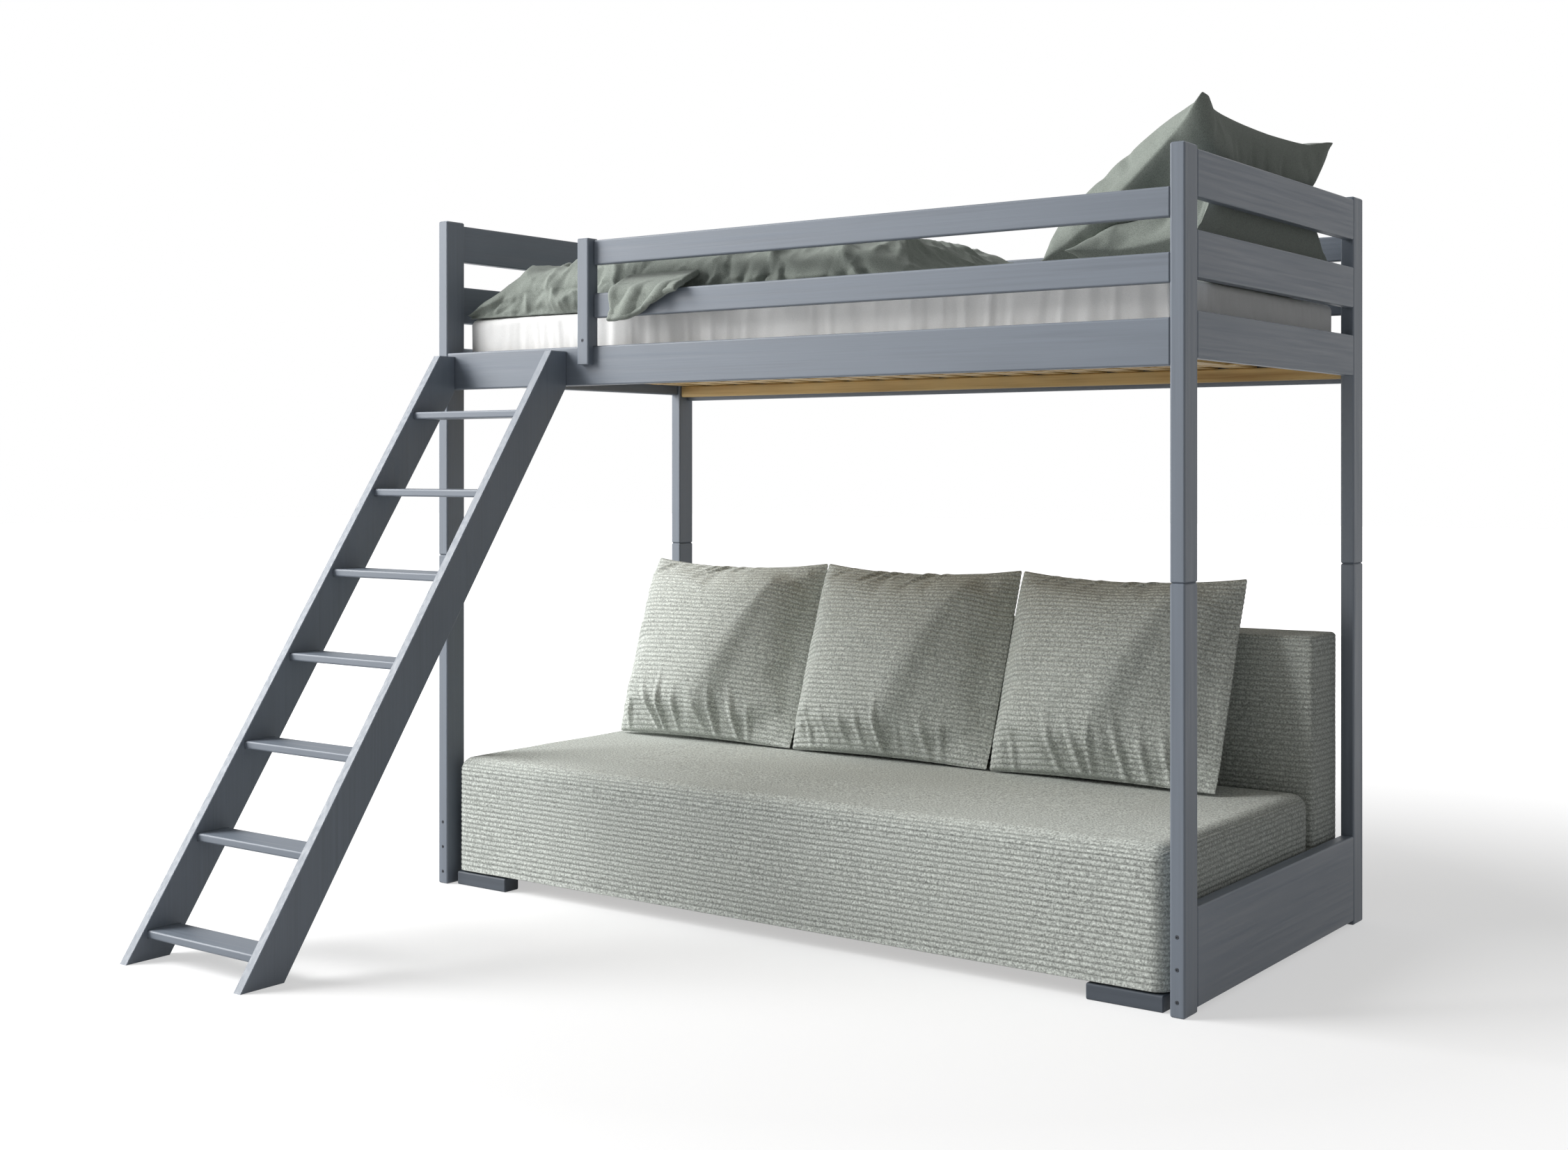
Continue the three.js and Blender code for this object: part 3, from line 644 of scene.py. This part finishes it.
def blowUp(bm, look):
    mesh = bpy.data.meshes.new("blown")
    bm.to_mesh(mesh)
    piece = bpy.data.objects.new("blown", mesh)
    bpy.context.scene.collection.objects.link(piece)
    seam = piece.vertex_groups.new(name="seam")
    for vert in mesh.vertices:
        u, v = abs(vert.co.x) * 2 / look["size"][0], abs(vert.co.y) * 2 / look["size"][1]
        pull = smoothStep(max(u, v), *pillowMake["seamBand"])
        if pull > 0:
            seam.add([vert.index], pull, "REPLACE")
    setCloth(piece.modifiers.new("cloth", "CLOTH").settings, look)
    scene = bpy.context.scene
    for frameNumber in range(1, pillowMake["frames"] + 1):
        scene.frame_set(frameNumber)
    shaped = piece.evaluated_get(bpy.context.evaluated_depsgraph_get()).to_mesh()
    for vert in bm.verts:
        move = shaped.vertices[vert.index].co - vert.co
        if move.length > look["cap"]:
            move *= look["cap"] / move.length
        vert.co += Vector((move.x * look["draw"], move.y * look["draw"], move.z))
    piece.to_mesh_clear()
    bpy.data.objects.remove(piece)
    bpy.data.meshes.remove(mesh)
    scene.frame_set(1)


# Scales a form to a width, height and thickness about its own middle
def fitForm(bm, size):
    low = Vector([min(vert.co[axis] for vert in bm.verts) for axis in range(3)])
    high = Vector([max(vert.co[axis] for vert in bm.verts) for axis in range(3)])
    bmesh.ops.translate(bm, vec=-(low + high) / 2, verts=bm.verts)
    bmesh.ops.scale(bm, vec=Vector([size[axis] / (high - low)[axis] for axis in range(3)]), verts=bm.verts)


def subdivided(bm):
    mesh = bpy.data.meshes.new("smooth")
    bm.to_mesh(mesh)
    bm.free()
    piece = bpy.data.objects.new("smooth", mesh)
    bpy.context.scene.collection.objects.link(piece)
    surface = piece.modifiers.new("subdivision", "SUBSURF")
    surface.levels = 1
    surface.render_levels = 1
    shaped = bpy.data.meshes.new_from_object(piece.evaluated_get(bpy.context.evaluated_depsgraph_get()))
    fine = bmesh.new()
    fine.from_mesh(shaped)
    bpy.data.objects.remove(piece)
    bpy.data.meshes.remove(mesh)
    bpy.data.meshes.remove(shaped)
    return fine


def makePillow(look, seed):
    look = dict(look, seed=seed)
    bm = pillowForm(look)
    blowUp(bm, look)
    fitForm(bm, look["size"])
    return subdivided(bm)


# Three throw pillows that lean on the back cushion, each with its own ridge
throwLook = {
    "size": (0.594, 0.517, 0.190),
    "cells": (60, 84),
    "rim": 0.003,  # half the thickness at the seam
    "drawnSides": -0.025,  # how far the middle of a side is drawn in, as a share
    "drawnTop": 0.08,
    "drawnBottom": 0.02,
    "start": 0.8,  # thickness before it is blown up, as a share
    "stiff": 20,
    "bend": 0.5,
    "pressure": 5,
    "slack": -0.04,
    "pucker": 0.05,
    "cap": 0.035,  # the furthest that the cloth may move a point
    "draw": 0.3,  # how much of its sideways move is kept
    "lean": 20,  # degrees from upright
    "shift": -0.046,
    "gap": 0.003,
    "standOff": 0.112,
    "sink": 0.004,  # into the seat
    "clear": 0.0006,
    "frontSwell": 1.34,
    "ridges": (0.22, 0.18, 0.10),  # of each pillow, in half widths right of its middle
    "ridgeSlant": 0.42,
    "ridgeFall": 1.15,
    "ridgeLift": 0.04,
    "ridgeEase": 0.34,
    "thinnest": 0.1,
    "folds": {
        "bottom": {
            "count": 8, "middle": -0.03, "reach": 0.75, "row": -0.40, "turn": 95, "spreadTurn": 40,
            "length": 0.050, "width": 0.013, "height": 0.0085, "seed": 1,
        },
        "top": {
            "count": 7, "middle": -0.12, "reach": 0.6, "row": 0.43, "turn": 42, "spreadTurn": 30,
            "length": 0.036, "width": 0.011, "height": 0.0090, "seed": 2,
        },
    },
}
# How much chance alters the folds at a seam, how far a fold is felt and how deep it sinks beside its crest
foldForm = {"chanceScale": 1.9, "shift": 0.08, "width": 0.5, "height": 0.8, "felt": 3, "trough": 1.6}


# Short folds that start at a seam: each has a place, a direction, a length, a width and a height,
# altered by noise that is read at a spot of its own for each fold
def seamFolds(look):
    folds = []
    width, height = look["size"][:2]
    for settings in look["folds"].values():
        seed = look["seed"] + settings["seed"]
        for index in range(settings["count"]):
            share = (index + 0.5) / settings["count"] - 0.5
            chance = wobble((index * 1.7, share, 0), foldForm["chanceScale"], seed)
            other = wobble((index * 2.3, share, 4), foldForm["chanceScale"], seed)
            x = (settings["middle"] + share * settings["reach"] + chance * foldForm["shift"]) * width
            folds.append({
                "place": (x, height * settings["row"]),
                "turn": math.radians(settings["turn"] + settings["spreadTurn"] * chance),
                "length": settings["length"] * (1 + other),
                "width": settings["width"] * (1 + foldForm["width"] * chance),
                "height": settings["height"] * (foldForm["height"] + other),
            })
    return folds


def layFolds(bm, look):
    folds = seamFolds(look)
    for vert in bm.verts:
        if vert.co.z < 0:
            continue
        for fold in folds:
            dx, dy = vert.co.x - fold["place"][0], vert.co.y - fold["place"][1]
            cos, sin = math.cos(fold["turn"]), math.sin(fold["turn"])
            along = (dx * cos + dy * sin) / fold["length"]
            across = (dy * cos - dx * sin) / fold["width"]
            near = along * along + across * across
            if near < foldForm["felt"] ** 2:
                vert.co.z += fold["height"] * (1 - foldForm["trough"] * across * across) * math.exp(-near)


def layRibs(bm, height):
    row = bm.verts.layers.float["row"]
    bm.normal_update()
    moves = [vert.normal * (ribCrest(vert[row]) - 1) * height for vert in bm.verts]
    for vert, move in zip(bm.verts, moves):
        vert.co += move


# The fill has sunk to the left: right of a slanting ridge the front falls away evenly
def fallAway(u, v, ridge, look):
    ridge += look["ridgeSlant"] * v
    share = min(1, max(0, (u - ridge) / (1 - ridge)))
    full = max(look["thinnest"], 1 - u * u) ** pillowMake["fullness"]
    fallen = min(1, (1 - share ** look["ridgeFall"] + look["ridgeLift"] * share) / full)
    return 1 + (fallen - 1) * smoothStep(share, 0, look["ridgeEase"])


def makeThrowPillows(look):
    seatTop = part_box("seat_cushion")[1].z
    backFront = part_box("back_cushion")[0].y
    tilt = math.radians(90 - look["lean"])
    width, height = look["size"][:2]
    for index, side in enumerate(("left", "middle", "right")):
        seed = index + 1
        bm = makePillow(look, seed)
        for vert in bm.verts:
            if vert.co.z > 0:
                u, v = vert.co.x * 2 / width, vert.co.y * 2 / height
                vert.co.z *= look["frontSwell"] * fallAway(u, v, look["ridges"][index], look)
        layFolds(bm, dict(look, seed=seed))
        layRibs(bm, ribLook["height"])
        x = look["shift"] + (index - 1) * (width + look["gap"])
        y = backFront - look["standOff"]
        z = seatTop + height / 2 * math.sin(tilt) - look["sink"]
        turn = Matrix.Translation((x, y, z)) @ Matrix.Rotation(tilt, 4, "X")
        bmesh.ops.transform(bm, matrix=turn, verts=bm.verts)
        for vert in bm.verts:
            vert.co.y = min(vert.co.y, backFront - look["clear"])
            vert.co.z = max(vert.co.z, seatTop + look["clear"])
        name = "throw_pillow_" + side
        pillow = toPiece(bm, name + "_cover", corduroy, "sofa_seat", name)


makeThrowPillows(throwLook)
print("throw pillows made")

# Mattress in its fitted sheet, with upright wrinkles down its sides, calmer in some stretches
mattressLook = {
    "radius": 0.022,
    "cells": (300, 140, 16),
    "folds": ((6.5, 0.0100), (17, 0.0070), (41, 0.0020)),
    "upright": 1.3,
    "slant": 0.35,
    "slantScale": 2.2,
    "calm": 0.45,
    "calmScale": 1.7,
    "calmRange": (-0.25, 0.3),  # noise from the calm stretches to the wrinkled ones
    "calmSeed": 4,
    "dimple": 0.0012,
    "dimpleScale": 5,
}
creaseGain = 2.4  # how fast a crease falls away to both sides


# One along a sharp crease, which runs where the noise passes nought, and nought away from it
def crease(place, sharpness=0.7):
    return 1 - min(1, abs(noise.noise(Vector(place))) * creaseGain) ** sharpness


def makeMattress(look):
    low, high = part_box("mattress")
    half, middle = (high - low) / 2, (low + high) / 2
    bm = gridBox(low, high, look["cells"])
    reach = look["radius"]
    for vert in bm.verts:
        local = vert.co - middle
        inner = Vector([max(reach - half[axis], min(half[axis] - reach, local[axis])) for axis in range(3)])
        out = (local - inner).normalized()
        around = local.x + local.y + look["slant"] * local.z * wobble(local, look["slantScale"])
        level = local.z * look["upright"]
        pull = sum(depth * (1 - crease((around * scale, scale, level))) for scale, depth in look["folds"])
        stretch = smoothStep(wobble((around, 0, 0), look["calmScale"], look["calmSeed"]), *look["calmRange"])
        pull *= (1 - abs(out.z)) * (look["calm"] + (1 - look["calm"]) * stretch)
        flat = look["dimple"] * (1 + wobble(local, look["dimpleScale"])) * abs(out.z)
        vert.co = middle + inner + out * (reach - pull - flat)
    mattress = toPiece(bm, "mattress_sheet", sheetCloth, "bed_frame", "mattress")


makeMattress(mattressLook)
print("mattress made")

# Bed pillows: one flat at the head, one leaning over it on the end rails
bedPillowLook = {
    "size": (0.505, 0.746, 0.195),
    "cells": (50, 74),
    "rim": 0.002,
    "drawnSides": 0.07,
    "drawnTop": 0.07,
    "drawnBottom": 0.07,
    "start": 0.6,
    "stiff": 14,
    "bend": 0.4,
    "pressure": 5,
    "slack": -0.05,
    "pucker": 0.01,
    "cap": 0.05,
    "draw": 0.6,
    "lean": 41,  # degrees down from its end on the rails
    "shift": 0.016,
    "reach": 0.004,
    "rise": 0.3734,
    "clear": 0.001,
    "thinTop": 0.42,
    "thinBand": (-0.1, 0.5),
}
# The lower pillow is pressed against the end rails, so it is longer at first and plump at that end
lowerPillowLook = {
    "pressed": 0.22,
    "squeeze": 0.05,
    "loft": 1.12,
    "plump": 0.30,
    "plumpBand": (0.2, 0.04),
    "clear": 0.0002,
    "liftFrom": 0.01,  # what lies over it is lifted from this height on
    "above": 0.1,
}


def makeLowerBedPillow(look, lowerLook):
    low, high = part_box("bed_pillow_lower")
    pressed, squeeze = lowerLook["pressed"], lowerLook["squeeze"]
    size = (high.x - low.x + pressed, high.y - low.y, (high.z - low.z) * lowerLook["loft"])
    bm = makePillow(dict(look, size=size), seed=5)
    bmesh.ops.translate(bm, vec=((low.x + high.x + pressed) / 2, 0, (low.z + high.z) / 2), verts=bm.verts)
    plumpStart, plumpEnd = [high.x - reach for reach in lowerLook["plumpBand"]]
    for vert in bm.verts:
        beyond = vert.co.x - high.x + squeeze
        if beyond > 0:
            vert.co.x = high.x - squeeze * math.exp(-beyond / squeeze)
        plump = 1 + lowerLook["plump"] * smoothStep(vert.co.x, plumpStart, plumpEnd)
        vert.co.z = low.z + lowerLook["clear"] + max(0, vert.co.z - low.z) * plump
    lower = toPiece(bm, "bed_pillow_lower_cover", sage, "bed_frame", "bed_pillow_lower")
    return lower


def makeUpperBedPillow(look, lowerLook, lower):
    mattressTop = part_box("mattress")[1].z
    slope = math.radians(look["lean"])
    width = look["size"][0]
    bm = makePillow(look, seed=6)
    for vert in bm.verts:
        if vert.co.z > 0:
            vert.co.z *= 1 - look["thinTop"] * smoothStep(vert.co.x / width, *look["thinBand"])
    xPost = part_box("post_front_right_lower")[0].x
    x = xPost + look["reach"] - width / 2 * math.cos(slope)
    z = mattressTop + look["rise"] - width / 2 * math.sin(slope)
    turn = Matrix.Translation((x, look["shift"], z)) @ Matrix.Rotation(-slope, 4, "Y")
    bmesh.ops.transform(bm, matrix=turn, verts=bm.verts)

    # What would sink into the pillow or the mattress below is lifted on to it
    low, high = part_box("bed_pillow_lower")
    rests = BVHTree.FromObject(lower, bpy.context.evaluated_depsgraph_get())
    for vert in bm.verts:
        vert.co.z = max(vert.co.z, mattressTop + look["clear"])
        above = Vector((vert.co.x, vert.co.y, high.z + lowerLook["above"]))
        hit = rests.ray_cast(above, Vector((0, 0, -1)))[0]
        if hit and vert.co.z > low.z + lowerLook["liftFrom"]:
            vert.co.z = max(vert.co.z, hit.z + look["clear"])
    upper = toPiece(bm, "bed_pillow_upper_cover", sage, "bed_frame", "bed_pillow_upper")


lowerPillow = makeLowerBedPillow(bedPillowLook, lowerPillowLook)
makeUpperBedPillow(bedPillowLook, lowerPillowLook, lowerPillow)
print("bed pillows made")

# Duvet: a crumpled heap that thins towards the pillows, one corner over the guard rail
duvetLook = {
    "cells": (330, 140, 16),
    "clear": 0.0006,
    "thin": 0.046,
    "heap": 0.100,
    "slope": (0.375, 0.215),  # where the heap starts and ends its fall, before the right end
    "leftSlope": (0.04, 0.22),  # outside and inside the left end
    "swell": ((1.9, 0.030), (4.5, 0.012)),
    "swellSeed": 8,
    "backFall": 0.05,
    "backFallStart": -0.1,
    "backFallAlong": (-0.5, 0.1),
    "sideThin": 0.80,
    "sidePower": 10,
    "endBand": 0.05,
    "rightThin": 0.9,
    "leftThin": 0.85,
    "folds": ((5.2, 0.022), (11, 0.013), (24, 0.005)),
    "foldSharpness": 0.8,
    "drift": 0.11,
    "driftScale": 3.1,
    "thinFolds": 0.2,  # what is left of the folds in the thin part, and at the left end
    "leftFolds": 0.35,
    "wall": 0.85,  # where the long sides begin, in half widths
    "bulge": 0.012,
    "bulgeHeight": 1.15,
    "wallFolds": 1.1,
    "wallFoldRise": 4,
    "thinWall": 0.3,
    "hem": 0.012,
    "hemPucker": 0.004,
    "hemPuckerScale": 45,
    "hemPuckerSeed": 3.3,
    "leftDraw": 0.012,
    "overhang": 0.012,
}


# Ridges with sharp crests and round hollows, bent by a slow drift
def crumple(place, look):
    drift = Vector([wobble(place, look["driftScale"], seed) for seed in (1, 2, 3)]) * look["drift"]
    return sum(depth * (crease((place + drift) * scale, look["foldSharpness"]) - 0.5)
               for scale, depth in look["folds"])


# How much the duvet's rounded rim leaves of its height along its sides, and at its two ends
def sideRim(v, look):
    return math.sqrt(1 - look["sideThin"] * abs(v) ** look["sidePower"])


def endRim(x, left, right, look):
    rightEnd = smoothStep(x, right - look["endBand"], right)
    leftEnd = smoothStep(-x, -left - look["endBand"], -left)
    return math.sqrt(1 - look["rightThin"] * rightEnd) * math.sqrt(1 - look["leftThin"] * leftEnd)


# The heap's height before its folds: it sinks towards the back and thins at both ends
def heapLoft(x, y, side, kept, rise, look):
    loft = look["thin"] + look["heap"] * kept * rise
    swell = sum(size * wobble((x, y, 0), scale, look["swellSeed"]) for scale, size in look["swell"])
    backFall = smoothStep(y, look["backFallStart"], side) * smoothStep(x, *look["backFallAlong"])
    return loft + swell * kept * rise - look["backFall"] * backFall * kept


def makeDuvet(look):
    low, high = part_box("duvet")
    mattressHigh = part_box("mattress")[1]
    bottom, side = mattressHigh.z + look["clear"], mattressHigh.y - look["hem"]
    left, right = low.x, high.x
    slopeStart, slopeEnd = [right - reach for reach in look["slope"]]
    riseStart, riseEnd = left - look["leftSlope"][0], left + look["leftSlope"][1]
    bm = gridBox((left, -side, 0), (right, side, 1), look["cells"])
    for vert in bm.verts:
        x, y, share = vert.co
        v = y / side
        kept = 1 - smoothStep(x, slopeStart, slopeEnd)
        rise = smoothStep(x, riseStart, riseEnd)
        loft = heapLoft(x, y, side, kept, rise, look)
        rim = sideRim(v, look)
        folded = crumple(Vector((x, y, loft * share * rim)), look)
        folded *= look["thinFolds"] + (1 - look["thinFolds"]) * kept
        folded *= look["leftFolds"] + (1 - look["leftFolds"]) * rise
        outward = math.sin(math.pi * min(1, share * look["bulgeHeight"])) * look["bulge"]
        outward += folded * look["wallFolds"] * min(1, share * look["wallFoldRise"])
        scale = look["hemPuckerScale"]
        pucker = crease((x * scale, y * scale, look["hemPuckerSeed"]))
        outward -= look["hemPucker"] * pucker * (1 - share)
        outward -= look["leftDraw"] * (1 - rise)
        outward *= smoothStep(abs(v), look["wall"], 1) * (look["thinWall"] + (1 - look["thinWall"]) * kept)
        reach = abs(y + math.copysign(outward, v))
        vert.co.y = math.copysign(min(reach, side + look["hem"] + look["overhang"]), v)
        vert.co.z = bottom + share * (loft + folded) * rim * endRim(x, left, right, look)
    duvet = toPiece(bm, "duvet_heap", sage, "bed_frame", "duvet")


# The duvet's corner: it lies on the mattress side of the rail, bends over it and hangs down in front
flapLook = {
    "left": 0.066,
    "width": 0.215,
    "thick": 0.015,
    "clear": 0.003,
    "tip": 1.426,  # height of its lowest point above the floor
    "bend": 0.014,
    "inside": 0.045,
    "rise": 0.030,
    "risePower": 0.8,
    "cells": (44, 70),
    "smoothing": 2,
    "slantStart": 0.08,
    "slant": 0.97,
    "sway": 0.018,
    "swayTurn": 2.6,
    "hem": 0.006,
    "hemWidth": 0.09,
    "sideHem": 0.10,
    "fold": 0.013,
    "foldBand": (0.2, 0.7),
    "foldSharpness": 0.9,
    # Each set of folds: how many run across, slanting and down, its seed and its share
    "folds": ((2.6, 1.5, 0.9, 6.1, 1.0), (6, -3, 2.2, 2.1, 0.25)),
    "standOff": 0.001,
}


def flapFolds(u, v, look):
    return sum(share * crease((u * across + v * slanting, v * down, seed), look["foldSharpness"])
               for across, slanting, down, seed, share in look["folds"])


def makeFlap(look):
    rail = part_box("guard_rail_front_middle")
    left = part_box("guard_post")[1].x + look["left"]
    top, face = rail[1].z + look["clear"], rail[0].y - look["clear"]
    inside, bend = rail[1].y + look["inside"], look["bend"]
    across = inside - face - bend
    arc = bend * math.pi / 2
    drop = top - bend - look["tip"]
    bm = bmesh.new()
    bmesh.ops.create_grid(bm, x_segments=look["cells"][0], y_segments=look["cells"][1], size=0.5)
    for vert in bm.verts:
        u, v = vert.co.x + 0.5, 0.5 - vert.co.y
        hang = 1 - look["slant"] * smoothStep(u, look["slantStart"], 1.0)
        length = across + arc + drop * hang
        along = length * v
        x = left + look["width"] * u + look["sway"] * v * math.sin(look["swayTurn"] * u) * (1 - u)
        if along < across:
            y, z = inside - along, top + look["rise"] * (1 - along / across) ** look["risePower"]
        elif along < across + arc:
            angle = (along - across) / bend
            y, z = face + bend - bend * math.sin(angle), top - bend + bend * math.cos(angle)
        else:
            y, z = face, top - bend - (along - across - arc)
        rim = smoothStep(v, 1 - look["hemWidth"], 1) + smoothStep(-u, -look["sideHem"], 0)
        folded = look["fold"] * flapFolds(u, v, look) * smoothStep(v, *look["foldBand"])
        vert.co = Vector((x, y - look["hem"] * rim - folded - look["standOff"], z))
    bmesh.ops.recalc_face_normals(bm, faces=bm.faces)
    bmesh.ops.solidify(bm, geom=bm.faces, thickness=-look["thick"])
    bmesh.ops.recalc_face_normals(bm, faces=bm.faces)
    for turn in range(look["smoothing"]):
        bmesh.ops.smooth_vert(bm, verts=bm.verts, factor=0.5,
                              use_axis_x=True, use_axis_y=True, use_axis_z=True)
    flap = toPiece(bm, "duvet_corner", sage, "bed_frame", "duvet")


makeDuvet(duvetLook)
makeFlap(flapLook)
print("duvet made")

# Studio: a key lamp from the front left, a weak low lamp below it and a pale floor that fades to white
studio = {
    "ambient": 0.20,
    "aim": (0, -0.3, 0.8),
    "lamps": {
        "key": {"place": (-7.9, -5.0, 6.4), "power": 1500, "size": 6.2},
        "low": {"place": (-5.4, -4.9, 1.6), "power": 105, "size": 3.0},
    },
    "floor": {"colour": 0.50, "roughness": 0.9, "size": 30, "near": 0.50, "fadeStart": 1.6, "fadeEnd": 4.5},
}


# One for a ray of any of these kinds
def rayNodes(tree, *kinds):
    path = tree.nodes.new("ShaderNodeLightPath")
    seen = path.outputs[kinds[0]]
    for kind in kinds[1:]:
        seen = mathNode(tree, "MAXIMUM", seen, path.outputs[kind])
    return seen


def makeWorld(strength):
    world = bpy.data.worlds.new("studio")
    bpy.context.scene.world = world
    world.use_nodes = True
    tree = world.node_tree
    background = tree.nodes["Background"]
    background.inputs["Color"].default_value = (1, 1, 1, 1)
    seen = rayNodes(tree, "Is Camera Ray", "Is Glossy Ray", "Is Transmission Ray")
    tree.links.new(spread(tree, seen, 0, 1, strength, 1), background.inputs["Strength"])


def makeLamp(name, settings, aim):
    data = bpy.data.lights.new(name, "AREA")
    data.energy = settings["power"]
    data.size = settings["size"]
    lamp = bpy.data.objects.new(name, data)
    lamp.location = settings["place"]
    lamp.rotation_euler = (Vector(aim) - lamp.location).to_track_quat("-Z", "Y").to_euler()
    bpy.context.scene.collection.objects.link(lamp)


def makeFloor(look):
    bm = bmesh.new()
    bmesh.ops.create_grid(bm, x_segments=1, y_segments=1, size=look["size"])
    mesh = bpy.data.meshes.new("floor")
    bm.to_mesh(mesh)
    bm.free()
    material, tree, shader = newMaterial("floorPaint", (look["colour"],) * 3, look["roughness"])
    distance = addNode(tree, "VectorMath", Vector=objectCoordinates(tree))
    distance.operation = "LENGTH"
    glow = spread(tree, distance.outputs["Value"], look["fadeStart"], look["fadeEnd"], look["near"], 1)
    seen = rayNodes(tree, "Is Camera Ray", "Is Glossy Ray")
    shader.inputs["Emission Color"].default_value = (1, 1, 1, 1)
    tree.links.new(mathNode(tree, "MULTIPLY", glow, seen), shader.inputs["Emission Strength"])
    mesh.materials.append(material)
    floor = bpy.data.objects.new("floor", mesh)
    bpy.context.scene.collection.objects.link(floor)


makeWorld(studio["ambient"])
for name, settings in studio["lamps"].items():
    makeLamp(name, settings, studio["aim"])
makeFloor(studio["floor"])
print("studio made")
